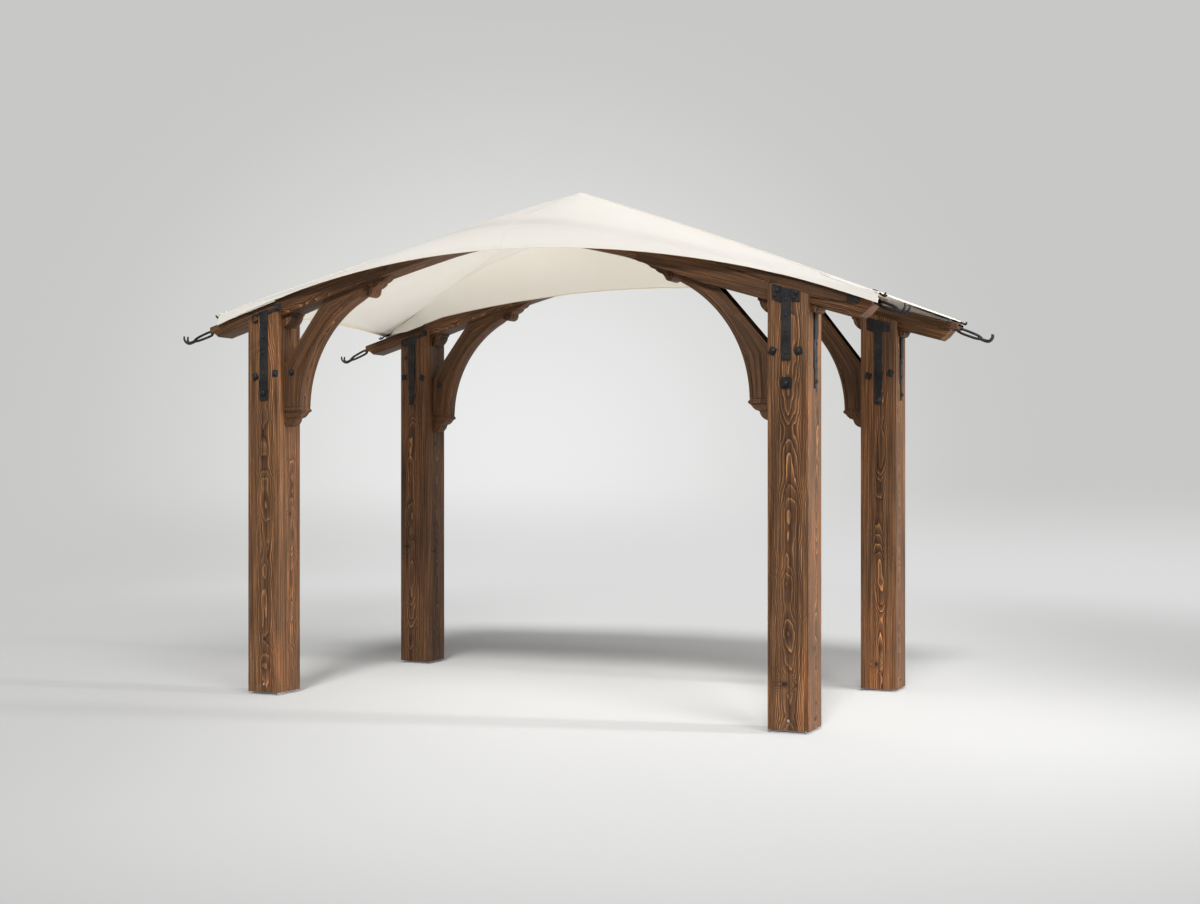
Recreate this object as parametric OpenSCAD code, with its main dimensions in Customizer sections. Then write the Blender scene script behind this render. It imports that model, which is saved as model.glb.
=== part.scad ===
// Garden pergola: four square posts, two arched beams, carved knee braces,
// wrought iron straps and a four-gore tent canopy.
// Millimetres, +Z up, origin on the ground at the middle of the plan.
// X runs along the arched beams, Y from the front arch to the back arch.

/* [Posts] */
// Width and depth of a post
post_w = 200; // [160:5:240]
// Distance between post centres along an arch
span = 3010; // [2600:10:3600]
// Distance between the front and the back post centres
depth = 1560; // [1200:10:2400]
// Thickness of the post left in front of and behind the beam slot
cheek_t = 30; // [20:1:35]
// Height of beam face that shows above a cheek
cheek_drop = 60; // [30:5:80]
// Radius of the bolt pockets near the foot of a post
pocket_r = 9; // [5:1:14]
// Height of the bolt pockets above the ground
pocket_z = 60; // [45:5:120]

/* [Post bases] */
// Thickness of the plate on the ground
plate_t = 6; // [4:1:12]
// Height of the stand-off block on the plate
standoff_h = 9; // [5:1:30]
// How far the plate is set in from the post's face
plate_inset = 10; // [5:1:40]

/* [Arched beams] */
// Height of the underside of the arch at its crown
crown_z = 2395; // [2250:5:2600]
// Half width of the tightly curved crown
crown_run = 400; // [250:10:600]
// Radius of the crown
crown_r = 1700; // [1500:10:2200]
// Radius of the haunches between crown and post
haunch_r = 12500; // [8000:100:20000]
// Depth of the beam at its crown
beam_crown_depth = 78; // [60:1:100]
// Depth of the beam at the posts
beam_post_depth = 108; // [90:1:140]
// How far the beam runs into a post from its inner face
beam_seat = 45; // [30:1:80]
// Extra depth of the front beam's right hand haunch, which butts against its post
haunch_extra = 40; // [0:2:50]
// Distance from the middle at which the extra depth starts
haunch_start = 620; // [560:10:700]
// Distance from the middle at which the extra depth is full
haunch_full = 1080; // [1000:10:1200]

/* [Beam tails] */
// How far a tail reaches past the outer face of its post
tail_reach = 295; // [150:5:340]
// Slope of the tails below the horizontal
tail_angle = 16.2; // [12:0.1:20]
// Depth of a tail, measured upright
tail_depth = 102; // [80:1:120]
// Size of the slanted nose cut on a tail's lower corner
tail_nose = 30; // [15:1:40]
// How much shallower the left hand tails are past their posts
tail_lift = 28; // [0:1:32]
// Step in from the beam's face to the tail's face
tail_step = 8; // [2:1:20]
// Thickness of the cap batten on the right hand tails
batten_t = 12; // [6:1:12]
// How far a cap batten reaches past its tail
batten_lap = 40; // [10:5:60]
// Distance from the post's outer face to where a cap batten starts
batten_start = 30; // [10:5:60]

/* [Knee braces] */
// Thickness of a brace across the arch
brace_t = 100; // [60:2:130]
// Radius of the hollow edge of a brace
brace_r = 655; // [600:5:720]
// Distance of the hollow edge from the post where it starts
brace_foot = 110; // [90:2:130]
// Height at which the hollow edge starts
brace_foot_z = 1565; // [1500:5:1650]
// Reach of a brace along the underside of the beam
brace_reach = 612; // [590:2:660]
// Distance from the post to where the straight edge meets the beam
brace_gap_x = 262; // [220:2:300]
// Height at which the straight edge leaves the post
brace_gap_z = 1810; // [1760:5:1870]
// Angle that the hollow edge turns through
brace_turn = 64; // [60:1:66]
// Height of the carved toe below the start of the hollow edge
toe_drop = 88; // [80:1:110]
// Radius of the nose where the toe meets the hollow edge
nose_r = 16; // [12:1:20]
// Radius of the scroll at the upper end
scroll_r = 27; // [20:1:32]

/* [Ironwork] */
// Width of a face strap
strap_w = 52; // [35:1:70]
// Thickness of strap iron
strap_t = 6; // [3:1:10]
// Height of the lower end of a face strap
strap_low_z = 1722; // [1650:2:1780]
// Distance of a face strap's upper end below the top of its post
strap_drop = 8; // [4:1:20]
// Width of the cross head of a face strap
head_w = 138; // [100:2:180]
// Height of the cross head of a face strap
head_h = 62; // [45:1:75]
// Width of the square washer plate under a face strap
washer_w = 58; // [40:2:80]
// Width of a side strap
side_w = 46; // [30:2:60]
// Length of the thicker upper part of a side strap
side_head_l = 150; // [100:5:200]
// Length of the narrow tongue below a side strap
tongue_l = 92; // [60:2:120]
// Width of a square bolt head
bolt_w = 26; // [16:1:36]
// Distance of the lone face bolts from the post's centre line
bolt_dx = 66; // [48:1:75]
// Height of the lone face bolts
bolt_z = 1776; // [1745:1:1820]
// Diameter of the rivets in the straps
rivet_d = 20; // [12:1:26]
// Distance of a tail's bolt from the end of the tail
tail_bolt_in = 66; // [50:1:90]

/* [Canopy] */
// Height of the canopy's peak
peak_z = 2773; // [2700:5:2950]
// Thickness of the canopy
cloth_t = 4; // [2:0.5:8]
// How far the left corners of the cloth stop short of the tails' ends
corner_short = 70; // [20:5:110]
// How far the right corners of the cloth reach past the tails' ends
corner_past = 30; // [0:5:60]
// Height of the front and back hems at the middle
hem_z = 2368; // [2300:1:2390]
// Radius of the front and back hems
hem_r = 5076; // [4800:10:5400]
// How far the hems hang in front of the beams
hem_out = 12; // [8:1:30]
// How much further the hems swing out at the middle
hem_flare = 80; // [0:5:85]
// How far the cloth bellies outwards between peak and edge
belly = 12; // [0:1:60]
// How far the left and right hems curve inwards
scallop = 70; // [0:5:150]
// Height of the folded hem at the corners
hem_h = 12; // [6:1:20]
// Clearance between the cloth and what it rests on
seat_gap = 0.4; // [0.3:0.1:0.8]

/* [Corner hooks] */
// Reach of a tensioning hook past the end of its tail
hook_reach = 240; // [150:5:300]
// Diameter of the hook iron
hook_d = 9; // [6:1:14]
// Distance between the two rods of a hook link
hook_gap = 24; // [16:1:36]
// Width of the plate that holds a hook to its tail
tang_w = 40; // [30:1:60]
// Height of the plate that holds a hook to its tail
tang_h = 23; // [18:1:30]
// Angle between the tines and the link of a hook
tine_angle = 42; // [20:1:60]

/* [Hidden] */
EPS = 0.01;
half_span = span / 2;
half_depth = depth / 2;
beam_t = post_w - 2 * cheek_t;
inner_x = half_span - post_w / 2;
outer_x = half_span + post_w / 2;
seat_x = inner_x + beam_seat;
tail_x = outer_x + tail_reach;
reach_left = tail_x - corner_short;
reach_right = tail_x + corner_past;
base_h = plate_t + standoff_h;
crown_slope = crown_run / crown_r;
crown_drop = crown_run * crown_run / (2 * crown_r);
tail_slope = tan(tail_angle);
tail_t = beam_t - 2 * tail_step;
face_y = half_depth + post_w / 2;
hem_y = half_depth + beam_t / 2 + hem_out;
crease_y = half_depth + beam_t / 2 + seat_gap;
arch_steps = 24;
brace_clear = 0.4;
past = 10;
pocket_depth = 15;
TIMBER = [0.33, 0.19, 0.11];
IRON = [0.10, 0.10, 0.11];
ZINC = [0.62, 0.63, 0.64];
CANVAS = [0.93, 0.90, 0.84];

// Fall of the arch below its crown at the distance x from the middle
function arch_drop(x) =
    let (run = abs(x) - crown_run)
    run < 0
        ? x * x / (2 * crown_r)
        : crown_drop + crown_slope * run + run * run / (2 * haunch_r);
function under_z(x) = crown_z - arch_drop(x);
function beam_depth(x) =
    beam_crown_depth + (beam_post_depth - beam_crown_depth) * min(1, abs(x) / inner_x);
function top_z(x) = under_z(x) + beam_depth(x);

// Underside of a beam whose right hand haunch is deeper by an extra amount
function haunch_z(x, extra) =
    under_z(x) - extra * max(0, min(1, (x - haunch_start) / (haunch_full - haunch_start)));

// Upper and lower lines of a tail; the lower one meets the arch where the beam is seated
function tail_low_z(x) = under_z(seat_x) - tail_slope * (abs(x) - seat_x);
function tail_top_z(x) = tail_low_z(x) + tail_depth;
function cheek_z(x) = (abs(x) < seat_x ? top_z(x) : tail_top_z(x)) - cheek_drop;

// x positions at which the arch and the cloth over it are worked out
arch_x = [for (i = [-arch_steps : arch_steps]) inner_x * i / arch_steps];

// The cloth's line over a beam, from the beam's top to the corner above the tail
corner_lift = 2 * batten_t;
function edge_z(x) =
    let (a = abs(x), start = top_z(inner_x), finish = tail_top_z(reach_left) + corner_lift)
    seat_gap + cloth_t + (a <= inner_x
        ? top_z(a)
        : start + (finish - start) * (a - inner_x) / (reach_left - inner_x));
function flare(x) = hem_flare * max(0, 1 - x * x / (inner_x * inner_x));
function hem_line_z(x) = min(hem_z - x * x / (2 * hem_r), edge_z(x) - hem_h);

// Puts a piece drawn for the right hand front corner on the corner at (side, face)
module at_corner(side, face)
{
    mirror([side < 0 ? 1 : 0, 0, 0])
        mirror([0, face > 0 ? 1 : 0, 0])
            children();
}

// An upright outline in X and Z, with its thickness in Y centred on the post line
module upright(thickness, y = -half_depth)
{
    translate([0, y + thickness / 2, 0])
        rotate([90, 0, 0])
            linear_extrude(thickness)
                children();
}

module post()
{
    past_x = outer_x + past;
    color(TIMBER)
        difference() {
            translate([inner_x, -face_y, base_h])
                cube([post_w, post_w, cheek_z(inner_x) - base_h]);
            // open slot that the beam and its tail lie in
            upright(beam_t)
                polygon([
                    [inner_x - past, crown_z],
                    [inner_x - past, under_z(inner_x)],
                    [inner_x, under_z(inner_x)],
                    [seat_x, under_z(seat_x)],
                    [past_x, tail_low_z(past_x)],
                    [past_x, crown_z]
                ]);
            // tops of the cheeks, cut along the slope of the beam
            upright(post_w + 2)
                polygon([
                    [inner_x - past, crown_z],
                    [inner_x - past, cheek_z(inner_x) + past],
                    [inner_x, cheek_z(inner_x)],
                    [outer_x, cheek_z(outer_x)],
                    [past_x, cheek_z(outer_x)],
                    [past_x, crown_z]
                ]);
            // bolt pockets near the foot, in the front and the side face
            translate([half_span, -face_y - past, pocket_z])
                rotate([-90, 0, 0])
                    cylinder(h = past + pocket_depth, r = pocket_r, $fn = 32);
            translate([outer_x + past, -half_depth, pocket_z])
                rotate([0, -90, 0])
                    cylinder(h = past + pocket_depth, r = pocket_r, $fn = 32);
        }
}

module post_base()
{
    plate_w = post_w - 2 * plate_inset;
    block_w = plate_w - 2 * plate_inset;
    color(ZINC) {
        translate([half_span - plate_w / 2, -half_depth - plate_w / 2, 0])
            cube([plate_w, plate_w, plate_t]);
        translate([half_span - block_w / 2, -half_depth - block_w / 2, plate_t - EPS])
            cube([block_w, block_w, standoff_h + EPS]);
    }
}

module arched_beam(extra)
{
    stations = concat([-seat_x], arch_x, [seat_x]);
    upper = [for (x = stations) [x, top_z(x)]];
    // the seat in the right hand post keeps the plain depth, so the haunch ends at the post's face
    shoulder = [[seat_x, under_z(seat_x)], [inner_x, under_z(inner_x)]];
    lower = [for (i = [len(arch_x) - 1 : -1 : 0]) [arch_x[i], haunch_z(arch_x[i], extra)]];
    color(TIMBER)
        upright(beam_t)
            polygon(concat(upper, shoulder, lower, [[-seat_x, under_z(seat_x)]]));
}

// Tail whose underside is raised by a lift past the post
module beam_tail(lift = 0)
{
    raised_x = outer_x + tail_nose;
    nose_x = tail_x - 2 * tail_nose;
    color(TIMBER)
        upright(tail_t)
            polygon([
                [seat_x, tail_low_z(seat_x)],
                [outer_x, tail_low_z(outer_x)],
                [raised_x, tail_low_z(raised_x) + lift],
                [nose_x, tail_low_z(nose_x) + lift],
                [nose_x + tail_nose, tail_low_z(nose_x + tail_nose) + lift + tail_nose],
                [tail_x, tail_top_z(tail_x) - tail_nose],
                [tail_x, tail_top_z(tail_x)],
                [seat_x, tail_top_z(seat_x)]
            ]);
}

module cap_batten()
{
    start = outer_x + batten_start;
    finish = tail_x + batten_lap;
    color(TIMBER)
        upright(tail_t)
            polygon([
                [start, tail_top_z(start)],
                [finish, tail_top_z(finish)],
                [finish, tail_top_z(finish) + batten_t],
                [start, tail_top_z(start) + batten_t]
            ]);
}

// Side view of a knee brace; u runs from the post's inner face towards the middle
module brace_outline(extra)
{
    arc_cu = brace_foot + brace_r;
    tip_u = arc_cu - brace_r * cos(brace_turn);
    tip_z = brace_foot_z + brace_r * sin(brace_turn);
    // stepped toe, as offsets from the brace's lowest corner at the post
    toe_steps = [[0, 0], [24, -6], [40, 0], [62, 14], [66, 34], [84, 50]];
    toe = [for (p = toe_steps) [p[0], brace_foot_z - toe_drop + p[1]]];
    nose_out = 6;
    nose = [
        for (a = [-70 : 20 : 50])
            [brace_foot + nose_out - nose_r + nose_r * cos(a), brace_foot_z - nose_r + nose_r * sin(a)]
    ];
    hollow = [
        for (a = [0 : 4 : brace_turn])
            [arc_cu - brace_r * cos(a), brace_foot_z + brace_r * sin(a)]
    ];
    scroll_drop = 8;
    scroll = [
        for (a = [-140 : 20 : -20])
            [tip_u + scroll_r + scroll_r * cos(a), tip_z + scroll_drop + scroll_r * sin(a)]
    ];
    // thin lip past the scroll, as distances back from the brace's end and below the beam
    lip_steps = [[34, 28], [14, 16]];
    lip = [for (p = lip_steps) [brace_reach - p[0], haunch_z(inner_x - brace_reach + p[0], extra) - p[1]]];
    top_parts = 8;
    top = [
        for (i = [0 : top_parts])
            let (u = brace_reach + (brace_gap_x - brace_reach) * i / top_parts)
            [u, haunch_z(inner_x - u, extra) - brace_clear]
    ];
    polygon(concat(toe, nose, hollow, scroll, lip, top, [[0, brace_gap_z]]));
}

// Knee brace under a haunch that is deeper by an extra amount
module knee_brace(extra = 0)
{
    color(TIMBER)
        upright(brace_t)
            translate([inner_x, 0])
                mirror([1, 0])
                    brace_outline(extra);
}

// Square bolt head with a pyramid top, standing on a face whose outward normal is +Z
module bolt_head(w = bolt_w)
{
    shoulder = 0.35 * w;
    cap = 0.25 * w;
    tip_w = 0.2 * w;
    rotate(45)
        cylinder(h = shoulder, d = w * sqrt(2), $fn = 4);
    translate([0, 0, shoulder])
        rotate(45)
            cylinder(h = cap, d1 = w * sqrt(2), d2 = tip_w * sqrt(2), $fn = 4);
}

// Hammered rivet head, standing on a face whose outward normal is +Z
module rivet()
{
    cylinder(h = 0.25 * rivet_d, d1 = rivet_d, d2 = 0.6 * rivet_d, $fn = 24);
}

// Puts a piece drawn on +Z on the front face of a right hand post
module on_front(x, z, out = 0)
{
    translate([x, -face_y - out, z])
        rotate([90, 0, 0])
            children();
}

// Puts a piece drawn on +Z on the outer side face of a right hand post
module on_side(z, out = 0)
{
    translate([outer_x + out, -half_depth, z])
        rotate([0, 90, 0])
            children();
}

// Repeats a piece on the other face of its post, as its through bolts clamp a pair
module both_faces()
{
    children();
    translate([0, -2 * half_depth, 0])
        mirror([0, 1, 0])
            children();
}

module face_strap()
{
    top_z = cheek_z(half_span) - strap_drop;
    leg_h = top_z - strap_low_z;
    washer_gap = 4;
    washer_top = strap_low_z - washer_gap;
    washer_h = 2 * washer_w;
    stud_dx = head_w / 2 - 22;
    stud_w = 18;
    color(IRON) both_faces() {
        // long leg
        translate([half_span - strap_w / 2, -face_y - strap_t, strap_low_z])
            cube([strap_w, strap_t, leg_h]);
        // cross head that follows the slope of the beam
        translate([half_span, -face_y, top_z - head_h / 2])
            rotate([90, tail_angle, 0])
                linear_extrude(strap_t)
                    square([head_w, head_h], center = true);
        // washer plate below the leg, with its own bolt
        translate([half_span - washer_w / 2, -face_y - strap_t, washer_top - washer_h])
            cube([washer_w, strap_t, washer_h]);
        on_front(half_span, washer_top - 0.65 * washer_h, strap_t)
            bolt_head();
        // rivets down the leg, and studs in the head
        for (share = [1 : 2 : 5])
            on_front(half_span, strap_low_z + leg_h * share / 8, strap_t)
                rivet();
        for (side = [-1, 1])
            on_front(half_span + side * stud_dx, top_z - head_h / 2 - side * stud_dx * tail_slope, strap_t)
                bolt_head(stud_w);
    }
}

module side_strap()
{
    high_gap = 12;
    high_z = tail_low_z(outer_x) - high_gap;
    step_z = high_z - side_head_l;
    low_z = strap_low_z - 2 * strap_t;
    head_t = strap_t + 4;
    tongue_w = 0.6 * side_w;
    stud_w = 20;
    color(IRON) {
        translate([outer_x, -half_depth - side_w / 2, step_z])
            cube([head_t, side_w, side_head_l]);
        translate([outer_x, -half_depth - side_w / 2, low_z])
            cube([strap_t, side_w, step_z - low_z + EPS]);
        translate([outer_x, -half_depth - tongue_w / 2, low_z - tongue_l])
            cube([strap_t, tongue_w, tongue_l + EPS]);
        on_side(low_z - 0.65 * tongue_l, strap_t)
            bolt_head(stud_w);
        for (z = [low_z + 2 * rivet_d, step_z - rivet_d])
            on_side(z, strap_t)
                rivet();
    }
}

// Loose bolt heads: two beside the strap's foot, one through the tail, one on the brace
module bolt_set()
{
    tail_bolt_x = tail_x - tail_bolt_in;
    tail_bolt_z = (tail_low_z(tail_bolt_x) + tail_top_z(tail_bolt_x)) / 2;
    brace_bolt_in = 48;
    brace_bolt_drop = 62;
    brace_bolt_w = 22;
    color(IRON) both_faces() {
        for (side = [-1, 1])
            on_front(half_span + side * bolt_dx, bolt_z)
                bolt_head();
        translate([tail_bolt_x, -half_depth - tail_t / 2, tail_bolt_z])
            rotate([90, 0, 0])
                bolt_head();
        translate([inner_x - brace_bolt_in, -half_depth - brace_t / 2, brace_gap_z - brace_bolt_drop])
            rotate([90, 0, 0])
                bolt_head(brace_bolt_w);
    }
}

// Tensioning hook on the tail's end: a neck, a link of two rods and a two-tined hook
module corner_hook()
{
    tang_t = strap_t + 2;
    tang_drop = 2;
    neck_x = 0.18 * hook_reach;
    link_x = 0.68 * hook_reach;
    bend_x = 0.88 * hook_reach;
    neck_d = 1.8 * hook_d;
    shank_d = 1.2 * hook_d;
    tine_d = 0.8 * hook_d;
    tine_l = 4.2 * hook_d;
    yoke_w = hook_gap + 2 * hook_d;
    yoke_h = 1.4 * hook_d;
    color(IRON) {
        // small plate screwed to the tail's end
        translate([tail_x, -half_depth - tang_w / 2, tail_top_z(tail_x) - tang_drop - tang_h])
            cube([tang_t, tang_w, tang_h]);
        translate([tail_x, -half_depth, tail_top_z(tail_x) - tang_drop - tang_h / 2])
            rotate([0, tail_angle, 0]) {
                along_x(tang_t / 2, neck_x, 0, neck_d);
                for (side = [-1, 1])
                    along_x(neck_x, link_x, side * hook_gap / 2, hook_d);
                along_x(link_x, bend_x, 0, shank_d);
                for (x = [neck_x, link_x, bend_x])
                    translate([x - hook_d / 2, -yoke_w / 2, -yoke_h / 2])
                        cube([hook_d, yoke_w, yoke_h]);
                for (side = [-1, 1])
                    translate([bend_x, side * hook_gap / 2, 0])
                        rotate([0, tine_angle, 0])
                            cylinder(h = tine_l, d = tine_d, $fn = 20);
            }
    }
}

// Round bar along X from one x to another, at the given y
module along_x(from, to, y, d)
{
    translate([from, y, 0])
        rotate([0, 90, 0])
            cylinder(h = to - from, d = d, $fn = 20);
}

// Points of the canopy's edge from the left corner to the right corner of a front gore
hem_x = concat(
    [-reach_left, (-reach_left - outer_x) / 2, -outer_x, -half_span],
    arch_x,
    [half_span, outer_x, (reach_right + outer_x) / 2, reach_right]
);
peak = [0, 0, peak_z];
rings = 8;

// Point at the share t of the way from the peak to an edge point, with the cloth's belly
function gore_point(edge, t) =
    peak + (edge - peak) * t + [0, 0, belly * 4 * t * (1 - t)];

// Closed shell from rows of points: row 0 is the peak alone, all others have n points
module cloth_shell(rows, n, offsets)
{
    m = len(rows);
    outer = concat([peak], [for (r = rows) each r]);
    inner = concat(
        [peak - [0, 0, cloth_t]],
        [for (j = [0 : m - 1]) for (p = rows[j]) p - offsets[j]]
    );
    k = len(outer);
    fan = [for (i = [0 : n - 2]) [0, 1 + i, 2 + i]];
    skin = [
        for (j = [0 : m - 2])
            for (i = [0 : n - 2])
                let (a = 1 + j * n + i)
                each [[a, a + n, a + 1], [a + 1, a + n, a + n + 1]]
    ];
    last = 1 + (m - 1) * n;
    ends = concat([0], [for (j = [0 : m - 1]) 1 + j * n]);
    far_ends = concat([0], [for (j = [0 : m - 1]) n + j * n]);
    top_faces = concat(fan, skin);
    under_faces = [for (f = top_faces) [f[0] + k, f[2] + k, f[1] + k]];
    near_wall = [
        for (j = [0 : m - 1])
            each [[ends[j], ends[j] + k, ends[j + 1]], [ends[j + 1], ends[j] + k, ends[j + 1] + k]]
    ];
    far_wall = [
        for (j = [0 : m - 1])
            each [
                [far_ends[j], far_ends[j + 1], far_ends[j] + k],
                [far_ends[j + 1], far_ends[j + 1] + k, far_ends[j] + k]
            ]
    ];
    hem_wall = [
        for (i = [0 : n - 2])
            each [[last + i, last + i + k, last + i + 1], [last + i + 1, last + i + k, last + i + 1 + k]]
    ];
    polyhedron(
        points = concat(outer, inner),
        faces = [for (f = concat(top_faces, under_faces, near_wall, far_wall, hem_wall)) [f[2], f[1], f[0]]],
        convexity = 6
    );
}

module canopy_long_gore(face)
{
    crease = [for (x = hem_x) [x, face * crease_y, edge_z(x)]];
    hem = [for (x = hem_x) [x, face * (hem_y + flare(x)), hem_line_z(x)]];
    line = face < 0 ? crease : [for (i = [len(crease) - 1 : -1 : 0]) crease[i]];
    low = face < 0 ? hem : [for (i = [len(hem) - 1 : -1 : 0]) hem[i]];
    rows = concat([for (j = [1 : rings]) [for (p = line) gore_point(p, j / rings)]], [low]);
    down = [0, 0, cloth_t];
    back = [0, face * cloth_t, 0];
    color(CANVAS)
        cloth_shell(rows, len(hem_x), concat([for (j = [1 : rings]) down], [back]));
}

module canopy_short_gore(side)
{
    reach = side < 0 ? reach_left : reach_right;
    steps = 12;
    edge = [
        for (i = [-steps : steps])
            let (v = side * i / steps, pull = scallop * (1 - v * v), t = 1 - pull / reach)
            gore_point([side * reach, v * crease_y, edge_z(reach)], t)
    ];
    rows = [for (j = [1 : rings]) [for (p = edge) peak + (p - peak) * (j / rings)
        + [0, 0, belly * 4 * (j / rings) * (1 - j / rings)]]];
    color(CANVAS)
        cloth_shell(rows, 2 * steps + 1, [for (j = [1 : rings]) [0, 0, cloth_t]]);
}

at_corner(-1, -1) post();  // post_front_left
at_corner(-1, 1) post();  // post_back_left
at_corner(1, -1) post();  // post_front_right
at_corner(1, 1) post();  // post_back_right
at_corner(-1, -1) post_base();  // base_front_left
at_corner(-1, 1) post_base();  // base_back_left
at_corner(1, -1) post_base();  // base_front_right
at_corner(1, 1) post_base();  // base_back_right
at_corner(1, -1) arched_beam(haunch_extra);  // beam_front
at_corner(1, 1) arched_beam(0);  // beam_back
at_corner(-1, -1) beam_tail(tail_lift);  // tail_front_left
at_corner(-1, 1) beam_tail(tail_lift);  // tail_back_left
at_corner(1, -1) beam_tail();  // tail_front_right
at_corner(1, 1) beam_tail();  // tail_back_right
at_corner(1, -1) cap_batten();  // batten_front_right
at_corner(1, 1) cap_batten();  // batten_back_right
at_corner(-1, -1) knee_brace();  // brace_front_left
at_corner(-1, 1) knee_brace();  // brace_back_left
at_corner(1, -1) knee_brace(haunch_extra);  // brace_front_right
at_corner(1, 1) knee_brace();  // brace_back_right
at_corner(-1, -1) face_strap();  // face_strap_front_left
at_corner(-1, 1) face_strap();  // face_strap_back_left
at_corner(1, -1) face_strap();  // face_strap_front_right
at_corner(1, 1) face_strap();  // face_strap_back_right
at_corner(-1, -1) side_strap();  // side_strap_front_left
at_corner(-1, 1) side_strap();  // side_strap_back_left
at_corner(1, -1) side_strap();  // side_strap_front_right
at_corner(1, 1) side_strap();  // side_strap_back_right
at_corner(-1, -1) bolt_set();  // bolts_front_left
at_corner(-1, 1) bolt_set();  // bolts_back_left
at_corner(1, -1) bolt_set();  // bolts_front_right
at_corner(1, 1) bolt_set();  // bolts_back_right
at_corner(-1, -1) corner_hook();  // hook_front_left
at_corner(-1, 1) corner_hook();  // hook_back_left
at_corner(1, -1) corner_hook();  // hook_front_right
at_corner(1, 1) corner_hook();  // hook_back_right
canopy_long_gore(-1);  // canopy_front
canopy_long_gore(1);  // canopy_back
canopy_short_gore(-1);  // canopy_left
canopy_short_gore(1);  // canopy_right
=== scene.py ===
"""A garden pergola dressed for show: stained timber, black ironwork and a cream canvas canopy.

Metres, +Z up, origin on the ground at the middle of the plan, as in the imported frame.
X runs along the arched beams; the front arch is at negative Y.
"""
import math
import bmesh
import bpy
import numpy as np
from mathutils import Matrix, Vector


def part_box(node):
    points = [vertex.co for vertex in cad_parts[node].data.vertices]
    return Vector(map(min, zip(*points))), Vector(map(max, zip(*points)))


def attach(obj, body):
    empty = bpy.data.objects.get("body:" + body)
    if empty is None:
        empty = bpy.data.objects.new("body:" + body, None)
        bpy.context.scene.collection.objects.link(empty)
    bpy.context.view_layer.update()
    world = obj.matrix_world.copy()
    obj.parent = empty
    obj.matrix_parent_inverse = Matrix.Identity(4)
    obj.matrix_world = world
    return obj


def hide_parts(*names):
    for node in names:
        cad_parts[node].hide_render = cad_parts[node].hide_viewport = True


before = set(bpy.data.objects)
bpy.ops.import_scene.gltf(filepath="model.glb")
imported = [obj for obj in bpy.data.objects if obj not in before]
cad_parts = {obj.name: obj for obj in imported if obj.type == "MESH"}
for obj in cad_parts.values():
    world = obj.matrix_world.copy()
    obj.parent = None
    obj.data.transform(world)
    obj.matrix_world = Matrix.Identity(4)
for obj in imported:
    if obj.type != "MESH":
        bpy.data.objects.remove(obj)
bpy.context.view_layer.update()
scene = bpy.context.scene
CORNERS = {
    "front_left": (-1, -1),
    "back_left": (-1, 1),
    "front_right": (1, -1),
    "back_right": (1, 1),
}


# ---------------------------------------------------------------- post bases
# Under each post a square galvanised plate lies on the ground, with a smaller
# stand-off block on it that keeps the end grain dry. Cut from plate, edges ground.

PLATE_EASE = 0.0012


def feed(tree, node, values):
    """Sets a node's inputs, each to a number or colour, or linked from another node's socket."""
    for key, value in values.items():
        if isinstance(value, bpy.types.NodeSocket):
            tree.links.new(value, node.inputs[key])
        else:
            node.inputs[key].default_value = value


def put(tree, kind, values=None, **settings):
    """Adds a shader node, with its inputs and its settings."""
    made = tree.nodes.new("ShaderNode" + kind)
    for key, value in settings.items():
        setattr(made, key, value)
    feed(tree, made, values or {})
    return made


def new_material(name):
    """A material, its node tree, and its Principled node, which carries every solid finish here."""
    made = bpy.data.materials.new(name)
    made.use_nodes = True
    return made, made.node_tree, made.node_tree.nodes["Principled BSDF"]


def share(tree, value, low, high):
    """The value as a smooth share, 0 at low and 1 at high."""
    values = {"Value": value, "From Min": low, "From Max": high}
    return put(tree, "MapRange", values, interpolation_type="SMOOTHSTEP").outputs["Result"]


def noise(tree, where, scale, detail=2.0, stretch=None, output=0):
    """Noise on a vector, which stretch pulls out along its axes; output 1 is its colour."""
    if stretch:
        where = put(tree, "Mapping", {"Vector": where, "Scale": stretch}).outputs[0]
    return put(tree, "TexNoise", {"Vector": where, "Scale": scale, "Detail": detail}).outputs[output]


def mixed(tree, factor, first, second, blend="MIX"):
    """Two colours mixed, or one laid over the other."""
    values = {"Factor": factor, 6: first, 7: second}
    return put(tree, "Mix", values, data_type="RGBA", blend_type=blend).outputs[2]


def bump(tree, height, distance, strength):
    """Fine relief, for a Principled node's normal."""
    return put(tree, "Bump", {"Height": height, "Distance": distance, "Strength": strength}).outputs[0]


def zinc_finish():
    """Hot-dip zinc: dull grey, with the faint flakes that it sets in."""
    made, tree, shader = new_material("galvanised")
    where = put(tree, "TexCoord").outputs["Object"]
    flakes = put(tree, "TexVoronoi", {"Vector": where, "Scale": 140.0}).outputs["Color"]
    cloud = noise(tree, where, 30.0, 3.0)
    tint = mixed(tree, cloud, (0.46, 0.47, 0.48, 1), (0.66, 0.67, 0.68, 1))
    feed(tree, shader, {
        "Base Color": mixed(tree, 0.25, tint, flakes, "SOFT_LIGHT"),
        "Roughness": share(tree, cloud, -0.6, 1.6),
        "Metallic": 0.7,
        "Normal": bump(tree, cloud, 0.0006, 0.4),
    })
    return made


def surfaced(mesh, material):
    """The mesh in its finish, shaded smooth but for its sharp edges."""
    mesh.materials.clear()
    mesh.materials.append(material)
    mesh.shade_smooth()
    mesh.set_sharp_from_angle(angle=math.radians(40))
    return mesh


def new_piece(name, held):
    """A new object of the scene, which holds the mesh, lamp or camera given."""
    piece = bpy.data.objects.new(name, held)
    scene.collection.objects.link(piece)
    return piece


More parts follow.
